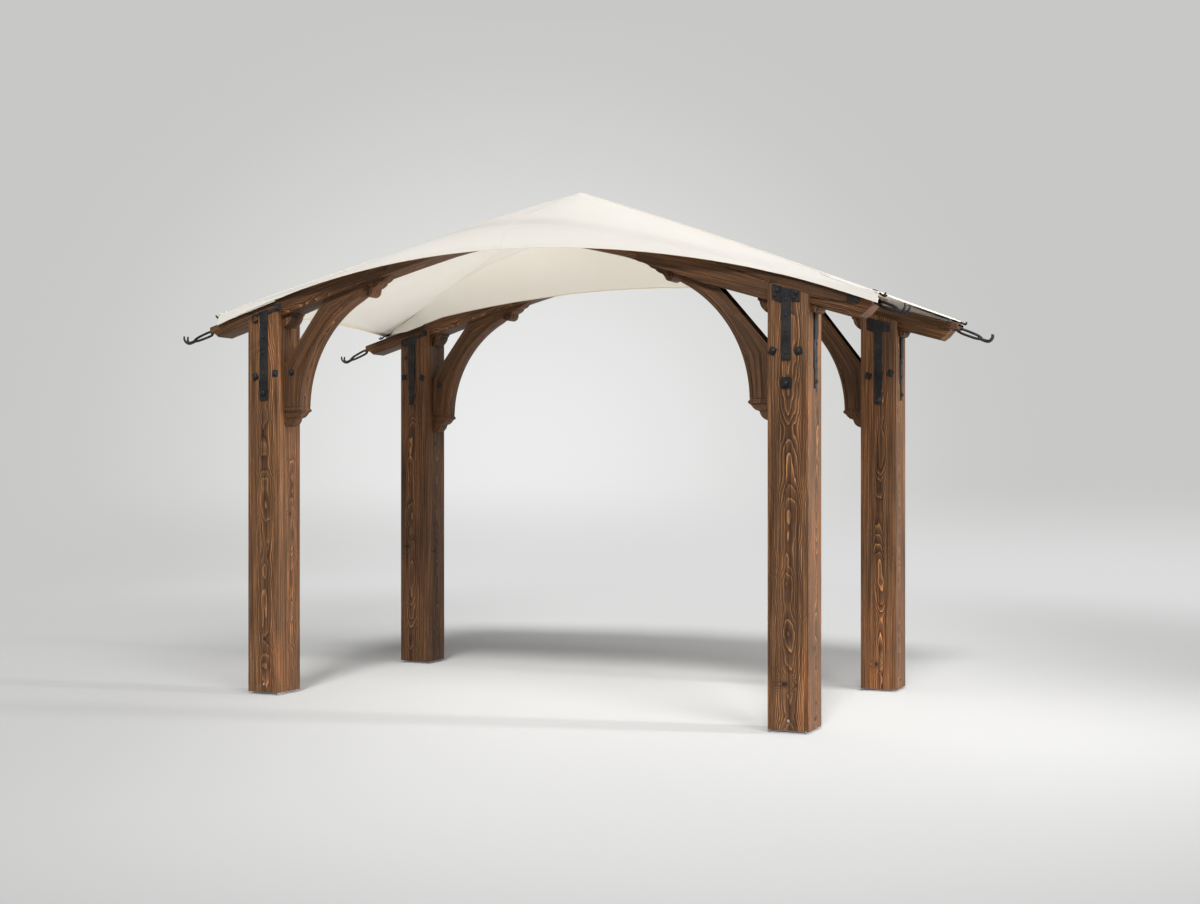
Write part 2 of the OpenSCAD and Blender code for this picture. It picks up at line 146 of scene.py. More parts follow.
def eased(node, name, width, material):
    """A copy of a CAD node, merged into whole faces and with its arrises rounded to the width."""
    shape = bmesh.new()
    shape.from_mesh(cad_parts[node].data)
    bmesh.ops.remove_doubles(shape, verts=shape.verts, dist=1e-5)
    bmesh.ops.dissolve_limit(shape, angle_limit=math.radians(1), verts=shape.verts, edges=shape.edges)
    mesh = bpy.data.meshes.new(name)
    shape.to_mesh(mesh)
    shape.free()
    piece = new_piece(name, mesh)
    bevel = piece.modifiers.new("eased", "BEVEL")
    bevel.width = width
    bevel.segments = 2
    bevel.limit_method = "ANGLE"
    bevel.angle_limit = math.radians(30)
    bpy.context.view_layer.update()
    worked = piece.evaluated_get(bpy.context.evaluated_depsgraph_get())
    mesh = bpy.data.meshes.new_from_object(worked)
    piece.modifiers.clear()
    piece.data = surfaced(mesh, material)
    return piece


def hand_over(piece, slot, *nodes):
    """The piece rides with the frame and stands for the CAD nodes named; its slot argument is not used."""
    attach(piece, "root")
    if nodes:
        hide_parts(*nodes)
    return piece


galvanised = zinc_finish()
for corner in CORNERS:
    plate = eased(f"base_{corner}", f"plate_{corner}", PLATE_EASE, galvanised)
    hand_over(plate, "galvanised", f"base_{corner}")


# --------------------------------------------------------------------- posts
# Four boxed-heart softwood posts, sawn 200 mm square and brushed, then stained dark
# brown. Each keeps its heart near the middle, so all four faces show tall flames of
# grain. The heads are cut with an open slot that the beam drops into.

POST_EASE = 0.004
RING = 0.0035
WANDER = 0.075
KNOT_CELL = (0.17, 0.40, 1)
KNOT_R = 0.013
# the colours through one year's growth
SEASONS = (
    (0.00, (0.014, 0.0062, 0.0036)),
    (0.14, (0.060, 0.0268, 0.0132)),
    (0.50, (0.100, 0.0470, 0.0210)),
    (0.72, (0.160, 0.0750, 0.0310)),
    (0.86, (0.470, 0.2250, 0.0840)),
    (0.94, (0.100, 0.0440, 0.0190)),
    (1.00, (0.014, 0.0062, 0.0036)),
)
DULL = (0.105, 0.0490, 0.0220)
BURNT = (0.016, 0.0075, 0.0045, 1)
# where each post's heart lies from its middle, and how far up the log it was cut
HEARTS = {
    "front_left": (0.012, 0.030, 0.0),
    "back_left": (-0.020, 0.014, 7.3),
    "front_right": (0.006, 0.022, 14.1),
    "back_right": (0.010, -0.038, 21.9),
}


def maths(tree, operation, *values):
    """One Math node, for a formula inside a material."""
    return put(tree, "Math", dict(enumerate(values)), operation=operation).outputs[0]


def vectors(tree, operation, *values):
    """One Vector Math node; where the operation measures something, its output is a number."""
    made = put(tree, "VectorMath", dict(enumerate(values)), operation=operation)
    return made.outputs["Value" if operation in ("LENGTH", "DISTANCE", "DOT_PRODUCT") else "Vector"]


def flat_vector(tree, x, y):
    """Two numbers as a vector with no height."""
    return put(tree, "CombineXYZ", {"X": x, "Y": y}).outputs[0]


def timber_finish(name, tone, warmth=1.0):
    """Stained softwood, worked out in the log that a piece was cut from.

    The attribute "grain" holds each point's place in that log: x and y across it, from its
    heart, and z along it. Year rings are the steps of (distance from the heart) / RING, and
    the heart wanders with z, so flat faces cut the rings in flames. Branches run outwards
    from the heart, so a knot is a spot in (angle, z), and the rings bow round it.
    """
    made, tree, shader = new_material(name)
    grain = put(tree, "Attribute", attribute_name="grain").outputs["Vector"]

    # the heart's wander, and the distance and angle from it
    drift = noise(tree, grain, 1.6, 3.5, (0.05, 0.05, 1.0), output=1)
    drift = vectors(tree, "MULTIPLY", vectors(tree, "SUBTRACT", drift, (0.5, 0.5, 0.5)), (WANDER, WANDER, 0))
    across, up, along = put(tree, "SeparateXYZ", {0: vectors(tree, "ADD", grain, drift)}).outputs
    radius = vectors(tree, "LENGTH", flat_vector(tree, across, up))
    angle = maths(tree, "ARCTAN2", up, across)

    # knots: cells in (angle, z), their size set by the cell's own random colour
    spot = flat_vector(tree, maths(tree, "MULTIPLY", angle, 0.1 / KNOT_CELL[0]),
                       maths(tree, "MULTIPLY", along, 1 / KNOT_CELL[1]))
    cells = put(tree, "TexVoronoi", {"Vector": spot, "Scale": 1.0}, voronoi_dimensions="2D").outputs
    offset = vectors(tree, "MULTIPLY", vectors(tree, "SUBTRACT", spot, cells["Position"]), KNOT_CELL)
    chance = put(tree, "SeparateColor", {"Color": cells["Color"]}).outputs[0]
    size = maths(tree, "MULTIPLY_ADD", share(tree, chance, 0.5, 1.0), KNOT_R, 0.0001)
    near = maths(tree, "DIVIDE", vectors(tree, "LENGTH", offset), size)
    bow = share(tree, near, 4.2, 0.4)
    core = share(tree, near, 1.1, 0.7)
    halo = share(tree, near, 2.6, 0.9)

    # year rings: early wood, then a pale resinous line and a thin dark one
    waver = noise(tree, grain, 26.0, 2.0, (1, 1, 0.07))
    bowed = maths(tree, "MULTIPLY_ADD", maths(tree, "MULTIPLY", bow, size), 1.7, radius)
    year = maths(tree, "MULTIPLY_ADD", waver, 2.2, maths(tree, "DIVIDE", bowed, RING))
    season = maths(tree, "FRACT", year)
    count = maths(tree, "FLOOR", year)
    which = put(tree, "TexWhiteNoise", {"W": count}, noise_dimensions="1D").outputs["Value"]
    ramp = put(tree, "ValToRGB", {"Fac": season})
    stops = ramp.color_ramp.elements
    while len(stops) < len(SEASONS):
        stops.new(0.5)
    for stop, (place, colour) in zip(stops, SEASONS):
        stop.position = place
        stop.color = (*[part * tone for part in colour], 1)

    # the stain: long streaks along the fibres, clouds where it soaked in, dark round a knot
    fibre = noise(tree, grain, 330.0, 3.0, (1, 1, 0.012))
    streak = noise(tree, grain, 95.0, 3.0, (1, 1, 0.022))
    cloud = noise(tree, grain, 6.0, 3.0, (1, 1, 0.30))
    faint = maths(tree, "MULTIPLY", maths(tree, "POWER", which, 0.70), 0.80)
    colour = mixed(tree, faint, ramp.outputs["Color"], (*[part * tone for part in DULL], 1))
    depth = maths(tree, "MULTIPLY", share(tree, fibre, 0.18, 0.72), share(tree, streak, 0.10, 0.74))
    depth = maths(tree, "MULTIPLY", depth, share(tree, cloud, -0.25, 0.90))
    colour = mixed(tree, 1.0, colour, maths(tree, "MULTIPLY_ADD", depth, 3.1, 0.22), "MULTIPLY")
    golden = maths(tree, "MULTIPLY", share(tree, cloud, 0.45, 0.75), 0.35 * warmth)
    colour = mixed(tree, golden, colour, (1.45, 1.02, 0.72, 1), "MULTIPLY")
    check = noise(tree, grain, 70.0, 1.0, (1, 1, 0.010))
    split = maths(tree, "MULTIPLY", share(tree, check, 0.735, 0.80), 0.75)
    dark = maths(tree, "MAXIMUM", split, maths(tree, "MULTIPLY", core, 0.88))
    dark = maths(tree, "MAXIMUM", dark, maths(tree, "MULTIPLY", halo, 0.35))

    # the brushed surface: hard lines stand proud, the fibres show and checks are open
    hard = share(tree, season, 0.2, 0.9)
    relief = maths(tree, "MULTIPLY_ADD", hard, 0.45, maths(tree, "MULTIPLY", fibre, 0.7))
    relief = maths(tree, "SUBTRACT", relief, maths(tree, "MULTIPLY", split, 1.4))
    feed(tree, shader, {
        "Base Color": mixed(tree, dark, colour, BURNT),
        "Roughness": maths(tree, "MULTIPLY_ADD", fibre, 0.3, 0.40),
        "Specular IOR Level": 0.22,
        "Normal": bump(tree, relief, 0.0012, 0.6),
    })
    return made


def set_grain(piece, places):
    """Stores each point's place in its log, an array of (x, y, z) rows in metres."""
    kept = piece.data.attributes.new("grain", "FLOAT_VECTOR", "POINT")
    kept.data.foreach_set("vector", np.asarray(places, np.float32).ravel())


def points_of(piece):
    """The mesh's points as an array of rows."""
    found = np.empty(len(piece.data.vertices) * 3, np.float32)
    piece.data.vertices.foreach_get("co", found)
    return found.reshape(-1, 3).astype(float)


stained = timber_finish("stained softwood", 1.0)
# a darker, less golden copy of the stain for the back left post, which stands in shade: painted shade
shade_painted_stain = timber_finish("softwood stain with painted shade", 0.74, 0.6)
for corner in CORNERS:
    # the back left post takes the darker copy: painted shade
    finish = shade_painted_stain if corner == "back_left" else stained
    post = eased(f"post_{corner}", f"timber_post_{corner}", POST_EASE, finish)
    low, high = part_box(f"post_{corner}")
    heart_x, heart_y, height = HEARTS[corner]
    middle_x, middle_y = (low.x + high.x) / 2, (low.y + high.y) / 2
    set_grain(post, points_of(post) - (middle_x + heart_x, middle_y + heart_y, -height))
    hand_over(post, "timber", f"post_{corner}")


# ------------------------------------------------------------- arched beams
# Two arched beams, band-sawn from wide softwood boards, scarfed together in three
# lengths and stained dark, drop into the slots of the posts. An upper board is let in
# over each right hand post.

ARCH_Y = 0.780
SPAN_HALF = 1.505
POST_HALF = 0.100
INNER_X = SPAN_HALF - POST_HALF
SEAT_X = INNER_X + 0.045
CROWN_Z = 2.395
CROWN_RUN = 0.400
CROWN_R = 1.700
HAUNCH_R = 12.5
CROWN_DEPTH = 0.078
POST_DEPTH = 0.108
BEAM_T = 0.140
HAUNCH = 0.040
HAUNCH_START, HAUNCH_FULL = 0.620, 1.080
TAIL_SLOPE = math.radians(16.2)
TAIL_DEPTH = 0.102
ARRIS = 0.004
END_EASE = 0.003
BOARD_DROP = 0.060
BOARD_END = 0.870
BOARD_TIPS = {-1: 1.840, 1: 1.940}
JOINT_HALF = 0.003
JOINT_CUT = 0.0035
SCARFS = (-0.700, 0.722)
LEANS = (0, 0.160, 0.012, 0)
dark_stained = timber_finish("dark stained softwood", 0.74, 0.7)


def under_z(x):
    """Underside of the arch: a tight round crown, then a tangent, flatter haunch down to the post."""
    run = np.abs(x) - CROWN_RUN
    slope = CROWN_RUN / CROWN_R
    crown_fall = x * x / (2 * CROWN_R)
    haunch_fall = CROWN_RUN * slope / 2 + slope * run + run * run / (2 * HAUNCH_R)
    return CROWN_Z - np.where(run < 0, crown_fall, haunch_fall)


def top_z(x):
    """Upper line of the beam, whose depth grows evenly from the crown to the post."""
    return under_z(x) + CROWN_DEPTH + (POST_DEPTH - CROWN_DEPTH) * np.minimum(1, np.abs(x) / INNER_X)


def low_z(x, face):
    """Lower line of a beam; the front one's right hand haunch is deeper from HAUNCH_START on."""
    extra = HAUNCH if face < 0 else 0.0
    return under_z(x) - extra * np.clip((x - HAUNCH_START) / (HAUNCH_FULL - HAUNCH_START), 0, 1)


def tail_low_z(x):
    """Lower line of a tail, which falls away from the seat of the beam at an even slope."""
    return under_z(SEAT_X) - math.tan(TAIL_SLOPE) * (np.abs(x) - SEAT_X)


def tail_top_z(x):
    """Upper line of a tail."""
    return tail_low_z(x) + TAIL_DEPTH


def rows(*parts):
    """Points from their coordinates, each an array or one number for all the points."""
    return np.stack(np.broadcast_arrays(*parts), -1)


def skin(name, parts, material):
    """One mesh over closed tubes, each an array (stations, points round, 3) with its ends closed."""
    faces, start = [], 0
    for count, around, _ in (rings.shape for rings in parts):
        first = start + np.arange(count - 1)[:, None] * around
        quad, beside = first + np.arange(around), first + np.roll(np.arange(around), -1)
        faces += rows(quad, beside, beside + around, quad + around).reshape(-1, 4).tolist()
        faces.append(list(range(start, start + around))[::-1])
        start += count * around
        faces.append(list(range(start - around, start)))
    mesh = bpy.data.meshes.new(name)
    mesh.from_pydata(np.vstack([rings.reshape(-1, 3) for rings in parts]), [], faces)
    shape = bmesh.new()
    shape.from_mesh(mesh)
    bmesh.ops.recalc_face_normals(shape, faces=shape.faces)
    shape.to_mesh(mesh)
    shape.free()
    return new_piece(name, surfaced(mesh, material))


def beam_section(x, depth):
    """Rings across the beam at each x: rounded corners, and a fine joint under the upper board.

    The joint starts at the post, BOARD_DROP below the top, and runs out at the top at BOARD_END.
    """
    run = np.clip((x - BOARD_END) / (INNER_X - BOARD_END), 0, 1)
    joint = np.minimum(np.maximum(BOARD_DROP * run, 0.014), depth - 0.016)
    cut = JOINT_CUT * np.clip(run * 12, 0, 1) * (x < INNER_X + 0.002)
    below = joint + JOINT_HALF
    lower = [below + (depth - ARRIS - below) * part for part in (0.25, 0.5, 0.75)]
    down = rows(0, 0.3 * ARRIS, ARRIS, joint / 2, joint - JOINT_HALF, joint, below, *lower,
                depth - ARRIS, depth - 0.3 * ARRIS, depth)
    out = BEAM_T / 2 - rows(ARRIS, 0.3 * ARRIS, 0, 0, 0, cut, 0, 0, 0, 0, 0, 0.3 * ARRIS, ARRIS)
    return np.hstack([out, -out[:, ::-1]]), np.hstack([down, down[:, ::-1]])


def beam_lines(x, face):
    """Top and depth of a beam at each x; past the right seat only the upper board runs on, thinning out."""
    past = np.clip((x - SEAT_X) / (BOARD_TIPS[1] - SEAT_X), 0, 1)
    top = np.where(x > SEAT_X, tail_top_z(x) + 0.008 + 0.004 * past, top_z(x))
    low = np.where(x > INNER_X, under_z(x), low_z(x, face))
    return top, np.where(x > SEAT_X + 0.0005, 0.086 - 0.058 * past ** 2, top - low)


def beam_part(first, last, leans, face):
    """Rings from one end of a part to the other; an end leans by its amount over the beam's depth."""
    inside = np.linspace(first, last, int((last - first) / 0.02))[1:-1]
    x = np.concatenate([[first, first + END_EASE], inside, [last - END_EASE, last]])
    if last > INNER_X:
        x = np.sort(np.concatenate([x, [INNER_X, INNER_X + 0.0004, SEAT_X, SEAT_X + 0.0008]]))
    top, depth = beam_lines(x, face)
    out, down = beam_section(x, depth)
    lean = np.exp(-np.abs(x - first) / 0.06) * leans[0] + np.exp(-np.abs(x - last) / 0.06) * leans[1]
    place = x[:, None] + (0.5 - down / depth[:, None]) * lean[:, None]
    moved_top, moved_depth = beam_lines(place, face)
    height = moved_top - down * moved_depth / depth[:, None] if last < INNER_X else top[:, None] - down
    shrink = np.ones((len(x), 1))
    shrink[[0, -1]] = 1 - 2 * END_EASE / BEAM_T
    middle = (top - depth / 2)[:, None]
    return rows(place, out * shrink, middle + (height - middle) * shrink), down


for side_name, face in (("front", -1), ("back", 1)):
    parts, logs = [], []
    ends = (-SEAT_X, *SCARFS, BOARD_TIPS[face])
    for number, (first, last) in enumerate(zip(ends, ends[1:])):
        rings, down = beam_part(first, last, LEANS[number:number + 2], face)
        along = rings[..., 0] + 30 + 6 * face + 2 * number
        logs.append(rows(0.012 - rings[..., 1], 0.105 - down + 0.03 * number, along).reshape(-1, 3))
        parts.append(rings + (0, face * ARCH_Y, 0))
    beam = skin(f"arched_beam_{side_name}", parts, dark_stained)
    set_grain(beam, np.vstack(logs))
    hand_over(beam, "timber", f"beam_{side_name}")


# ---------------------------------------------------------- tails and battens
# Short softwood tails carry the line of the beams past the posts, bolted into their
# slots, with noses cut on the slant. Thin cap battens are pinned on the two right hand
# ones.

TAIL_EASE = 0.003
BATTEN_EASE = 0.0015


def sloped_grain(piece, side, y_middle, height):
    """Grain that runs down a tail: the log's z lies along the slope, its y is square to it."""
    where = points_of(piece)
    run, fall = where[:, 0] * side - SEAT_X, where[:, 2] - 2.1
    along = run * math.cos(TAIL_SLOPE) - fall * math.sin(TAIL_SLOPE)
    square = run * math.sin(TAIL_SLOPE) + fall * math.cos(TAIL_SLOPE)
    set_grain(piece, rows(where[:, 1] - y_middle + 0.01, square + 0.05, along + height))


for number, (corner, (side, face)) in enumerate(CORNERS.items()):
    cuts = (("tail", TAIL_EASE, 50), ("batten", BATTEN_EASE, 70))
    for kind, width, log in cuts[:1 if side < 0 else 2]:
        piece = eased(f"{kind}_{corner}", f"timber_{kind}_{corner}", width, dark_stained)
        sloped_grain(piece, side, face * ARCH_Y, log + 3.1 * number)
        hand_over(piece, "timber", f"{kind}_{corner}")


# --------------------------------------------------------------- knee braces
# Curved braces, band-sawn so that the grain flows round the bow. Their faces carry a
# bead along the hollow edge, a collared toe at the post and a carved scroll and leaf
# under the beam. Each is cut from one thick softwood plank.

BRACE_HALF = 0.050
HOLLOW_R = 0.655
HOLLOW_END = math.radians(63)
FOOT_U, FOOT_Z = 0.110, 1.565
HOLLOW_C = np.array([FOOT_U + HOLLOW_R, FOOT_Z])
GAP_U, GAP_Z = 0.262, 1.810
SCROLL = np.array([0.538, 2.189]), 0.033
SMALL_SCROLL = np.array([0.522, 2.180]), 0.026
LEAF_U = 0.674
# the toe's outline: distance from the post, and height
TOE = [(0.002, 1.472), (0.014, 1.469), (0.028, 1.471), (0.042, 1.478), (0.053, 1.488), (0.060, 1.500),
       (0.064, 1.513), (0.070, 1.516), (0.082, 1.520), (0.094, 1.530), (0.104, 1.542), (0.114, 1.550),
       (0.119, 1.556), (0.117, 1.562), (0.112, 1.566)]
# the leaf's lower edge: distance from the post, and drop below the beam
LEAF = np.array([(0.574, 0.038), (0.585, 0.039), (0.598, 0.035), (0.610, 0.029), (0.614, 0.021),
                 (0.626, 0.021), (0.640, 0.018), (0.650, 0.011), (0.654, 0.007), (0.664, 0.005),
                 (LEAF_U, 0.003)])
# across a carved face: distances of the rings at the bead, and shares of the rest
BEAD_RINGS = np.array([0, 1, 3, 6, 10, 13.5, 15.5, 17, 18.5, 21, 24]) / 1000
FIELD_RINGS = np.array([0.07, 0.15, 0.23, 0.31, 0.39, 0.45, 0.48, 0.50, 0.52, 0.55, 0.61, 0.69, 0.78,
                        0.88, 0.965])
carved = timber_finish("carved softwood", 0.64, 0.65)
# a near-black copy of the finish, without shine, for the braces' back edges: painted shade
shaded = timber_finish("back edge with painted shade", 0.14)
shaded.node_tree.nodes["Principled BSDF"].inputs["Specular IOR Level"].default_value = 0.0


def travelled(points):
    """Distance walked along a line of points, at each of them."""
    return np.concatenate([[0], np.cumsum(np.linalg.norm(np.diff(points, axis=0), axis=1))])


def spread(points, step):
    """A broken line walked again at even steps, with its corners a little softened."""
    points = np.asarray(points, float)
    travel = travelled(points)
    at = np.linspace(0, travel[-1], int(travel[-1] / step) + 2)
    return rows(*[np.interp(at, travel, line) for line in points.T])


def beam_line(u, corner):
    """Height of the beam's underside at the distance u from a corner post's inner face."""
    side, face = corner
    return low_z(side * (INNER_X - u), face) - 0.0004


def scroll_at(corner):
    """The scroll's eye and radius, which are smaller under the deeper haunch."""
    return SMALL_SCROLL if corner == (1, -1) else SCROLL


def on_hollow(turn, radius):
    """Points about the hollow's centre, at angles up from its level toe."""
    return HOLLOW_C + radius * rows(-np.cos(turn), np.sin(turn))


def brace_edges(corner):
    """Front edge of the brace from its toe to its leaf, and the back edge's point for each of its points.

    In the hollow, a back point lies on the ray from the hollow's centre. In the toe it climbs
    the post, and past the hollow it follows the beam, each in step with the front edge.
    """
    toe = spread(TOE, 0.0030)
    turn = np.linspace(math.radians(0.6), HOLLOW_END, 170)
    bend = np.radians(np.linspace(-156, -18, 26))
    eye, eye_r = scroll_at(corner)
    scroll = eye + eye_r * rows(np.cos(bend), np.sin(bend))
    u, drop = LEAF.T
    if corner == (1, -1):
        u, drop = u - 0.012, drop * 0.66
    tip = spread(np.vstack([scroll[-1:], rows(u, beam_line(u, corner) - drop)]), 0.0035)[1:]

    back = spread([(0, 1.50), (0, GAP_Z), (GAP_U, beam_line(GAP_U, corner))], 0.004)
    on_beam = np.linspace(GAP_U, 0.60, 60)[1:]
    back = np.vstack([back, rows(on_beam, beam_line(on_beam, corner))])
    ray = np.arctan2(back[:, 1] - HOLLOW_C[1], HOLLOW_C[0] - back[:, 0])
    behind = rows(*[np.interp(turn, ray, line) for line in back.T])
    climb = rows(0, 1.476 + (behind[0, 1] - 1.480) * np.linspace(0, 1, len(toe)))
    past = np.linspace(behind[-1, 0], LEAF_U + 0.002, len(scroll) + len(tip) + 1)[1:]
    beyond = rows(past, beam_line(past, corner))
    front = np.vstack([toe, on_hollow(turn, HOLLOW_R), scroll, tip])
    return front, np.vstack([climb, behind, beyond])


def fade(value, low, high):
    """Smooth step of an array, 0 at low and 1 at high."""
    part = np.clip((value - low) / (high - low), 0, 1)
    return part * part * (3 - 2 * part)


def ridge(value, middle, width):
    """A soft hump of an array, 1 at the middle."""
    return np.exp(-((value - middle) / width) ** 2)


def brace_rings(corner):
    """Rings round the brace: down one carved face from the front edge to the back, and up the other.

    The depth of the carving at a point is the sum of the eased edge, the groove behind the
    bead, the sunk field with its flowing groove, the collar's steps and the dish of the scroll.
    """
    edge, back = brace_edges(corner)
    eye, eye_r = scroll_at(corner)
    length = np.linalg.norm(back - edge, axis=1)[:, None]
    scale = np.minimum(1, length / 0.062)
    near = BEAD_RINGS * scale
    bead, field = near[:, -1:], length - near[:, -1:]
    distance = np.hstack([near, bead + field * FIELD_RINGS, length])
    part = distance / length
    place = edge[:, None] + (back - edge)[:, None] * part[..., None]
    travel = travelled(edge)[:, None]
    u, z = place[..., 0], place[..., 1]

    true, flow = distance / scale, (distance - bead) / field
    in_hollow = fade(travel, 0.155, 0.185) * fade(travel, 0.90, 0.86)
    depth = 0.0052 * np.exp(-true / 0.0022)
    depth += (0.0042 * ridge(true, 0.0170, 0.0019) + 0.0026 * fade(true, 0.019, 0.026)) * in_hollow
    depth += 0.0024 * ridge(flow, 0.50, 0.022) * in_hollow * fade(travel, 0.88, 0.70)
    depth += 0.0050 * ridge(z, 1.5735, 0.0026)
    depth += 0.0070 * fade(z, 1.5520, 1.5480) + 0.0050 * fade(z, 1.5180, 1.5130)
    depth += 0.0075 * fade(np.hypot(u - eye[0], z - eye[1]), eye_r * 0.92, eye_r * 0.62)
    step = u - eye[0] - eye_r
    depth += 0.0050 * fade(step, -0.004, 0.006) + 0.006 * fade(step, 0.041, 0.047)
    depth += 0.008 * fade(step, 0.081, 0.087)
    depth[:, -1] += 0.003
    sides = []
    for y in (BRACE_HALF - depth, depth - BRACE_HALF):
        sides.append((rows(u, y, z), rows(y * 0.9 + 0.015, 0.034 + 0.125 * part, travel)))
    return [np.concatenate([face, other[:, ::-1]], 1) for face, other in zip(*sides)]


def unit(ways):
    """Rows of vectors brought to length 1."""
    return ways / np.linalg.norm(ways, axis=1)[:, None]


def circle(sides):
    """Even angles round a full turn."""
    return np.linspace(0, 2 * math.pi, sides, endpoint=False)


def rod(path, radius, sides=10):
    """A round bar along a path: at each point a circle square to it, of that point's radius."""
    path = np.asarray(path, float)
    radius = np.broadcast_to(np.asarray(radius, float), len(path))
    along = unit(np.gradient(path, axis=0))
    across = np.empty_like(along)
    guess = np.array([0.31, 0.87, 0.38])
    for number, way in enumerate(along):
        guess = guess - way * guess.dot(way)
        guess /= np.linalg.norm(guess)
        across[number] = guess
    turn = circle(sides)[:, None]
    ring = across[:, None] * np.cos(turn) + np.cross(along, across)[:, None] * np.sin(turn)
    return path[:, None] + ring * radius[:, None, None]


def volute(corner):
    """The scroll's raised spiral: off the bead, then round the eye with a radius that falls evenly."""
    eye, eye_r = scroll_at(corner)
    turn = np.radians(np.linspace(-158, 430, 90))
    curl = eye + eye_r * np.linspace(0.84, 0.23, 90)[:, None] * rows(np.cos(turn), np.sin(turn))
    return np.vstack([on_hollow(np.radians(np.linspace(55, 62, 8)), HOLLOW_R + 0.008), curl])


def beside_post(points, side, face):
    """Moves rows of (distance from the post, y from the arch, z) to their corner."""
    u, y, z = np.moveaxis(points, -1, 0)
    return rows(side * (INNER_X - u), face * ARCH_Y + y, z)


for number, (corner, (side, face)) in enumerate(CORNERS.items()):
    shape, log = brace_rings((side, face))
    stations, around, _ = shape.shape
    brace = skin(f"carved_brace_{corner}", [beside_post(shape, side, face)], carved)
    # the strip of faces along each back edge takes the near-black copy: painted shade
    brace.data.materials.append(shaded)
    column = np.zeros(len(brace.data.polygons), np.int32)
    column[:(stations - 1) * around] = np.tile(np.arange(around) == around // 2 - 1, stations - 1)
    brace.data.polygons.foreach_set("material_index", column)
    set_grain(brace, (log + (0, 0, 90 + 4.3 * number)).reshape(-1, 3))
    hand_over(brace, "timber", f"brace_{corner}")

    ridges = []
    spiral, (eye, eye_r) = volute((side, face)), scroll_at((side, face))
    knob = np.linspace(-0.006, 0.0045, 7)
    swell = 0.17 * eye_r * np.sqrt(np.clip(1 - ((knob + 0.001) / 0.0060) ** 2, 0.02, 1))
    for cheek in (-1, 1):
        coil = rows(spiral[:, 0], cheek * (BRACE_HALF - 0.0022), spiral[:, 1])
        stub = rows(eye[0], cheek * (BRACE_HALF - 0.005 + knob), eye[1])
        for path, radius in ((coil, np.linspace(0.0030, 0.0042, len(coil))), (stub, swell)):
            ridges.append(beside_post(rod(path, radius), side, face))
    scroll = skin(f"carved_scroll_{corner}", ridges, carved)
    set_grain(scroll, points_of(scroll) * (0.5, 1, 0.5) + (0.1, 0.1, 120))
    hand_over(scroll, "timber")


# ------------------------------------------------------------------ corbels
# Small quarter-round blocks, glued and pinned under the beams and the tails where
# they leave a post. They are carved from offcuts of the same timber.

CORBEL_HALF = 0.055
CORBEL_EASE = 0.002


def corbel_outline(reach, drop):
    """A quarter-round block: level on top, a small lip at its end, then a swelling curve to the post."""
    turn = np.linspace(0, math.pi / 2, 12)
    curve = rows(reach * 0.86 * np.cos(turn), -drop * (0.22 + 0.78 * np.sin(turn)))
    return np.vstack([[(reach, 0.0), (reach, -drop * 0.20)], curve, [(0.0, -drop), (0.0, 0.0)]])


def block(outline, half, ease):
    """A flat block between two parallel outlines, with its rims drawn in by the ease."""
    ahead = np.roll(outline, -1, 0)
    way = ahead - np.roll(outline, 1, 0)
    way /= np.linalg.norm(way, axis=1)[:, None] + 1e-9
    area = np.sum(outline[:, 0] * ahead[:, 1] - ahead[:, 0] * outline[:, 1])
    small = outline + rows(-way[:, 1], way[:, 0]) * ease * np.sign(area)
    layers = ((small, -half), (outline, ease - half), (outline, half - ease), (small, half))
    return np.stack([np.insert(line, 1, height, axis=1) for line, height in layers])


for number, (corner, (side, face)) in enumerate(CORNERS.items()):
    blocks = []
    spots = ((-1, INNER_X, 0.066, 0.060), (1, SPAN_HALF + POST_HALF, 0.042, 0.040))
    for away, start, reach, drop in spots[:1 if side < 0 else 2]:
        outline = spread(corbel_outline(reach, drop), 0.004)
        x = start + away * outline[:, 0]
        above = low_z(side * x, face) if away < 0 else tail_low_z(x)
        shape = block(rows(x, above + outline[:, 1]), CORBEL_HALF, CORBEL_EASE)
        blocks.append(shape * (side, 1, 1) + (0, face * ARCH_Y, 0))
    corbel = skin(f"corbel_{corner}", blocks, carved)
    set_grain(corbel, points_of(corbel) * (0.3, 1, 1) + (0, 0.05, 150 + number))
    hand_over(corbel, "timber")


# ------------------------------------------------------------------ ironwork
# Straps forged from 6 mm iron clamp the beams to the posts, front and back, with
# square-headed through bolts. Hammered, blacked and waxed.

FACE_Y = 0.880
INSIDE_Y = 0.680
HAMMERED = 0.0005
FORGED_EASE = 0.0013
BAND_EASE = 0.0014
TAIL_BOLT_X, TAIL_BOLT_Z = 1.778, tail_low_z(1.834) + 0.065
SLEEVE_GROWS = np.array([0.0004, 0.0016, 0.0016, 0.0004])
# for each post: the strap's middle, its widths, its top and foot, and the lower plate's top, foot and width
STRAPS = {
    "front_left": (-1.499, 0.052, 0.052, 2.103, 1.718, 1.714, 1.612, 0.056),
    "back_left": (-1.524, 0.050, 0.040, 2.078, 1.742, 1.742, 1.640, 0.036),
    "front_right": (1.497, 0.047, 0.046, 2.088, 1.749, 1.670, 1.617, 0.053),
    "back_right": (1.506, 0.046, 0.045, 2.062, 1.676, 1.672, 1.592, 0.042),
}
# the two bolts beside each strap, as (x, z)
BOLTS = {
    "front_left": ((-1.556, 1.742), (-1.424, 1.758)),
    "back_left": ((-1.580, 1.816), (-1.450, 1.812)),
    "front_right": ((1.430, 1.793), (1.557, 1.790)),
    "back_right": ((1.448, 1.754), (1.572, 1.766)),
}
rng = np.random.default_rng(7)


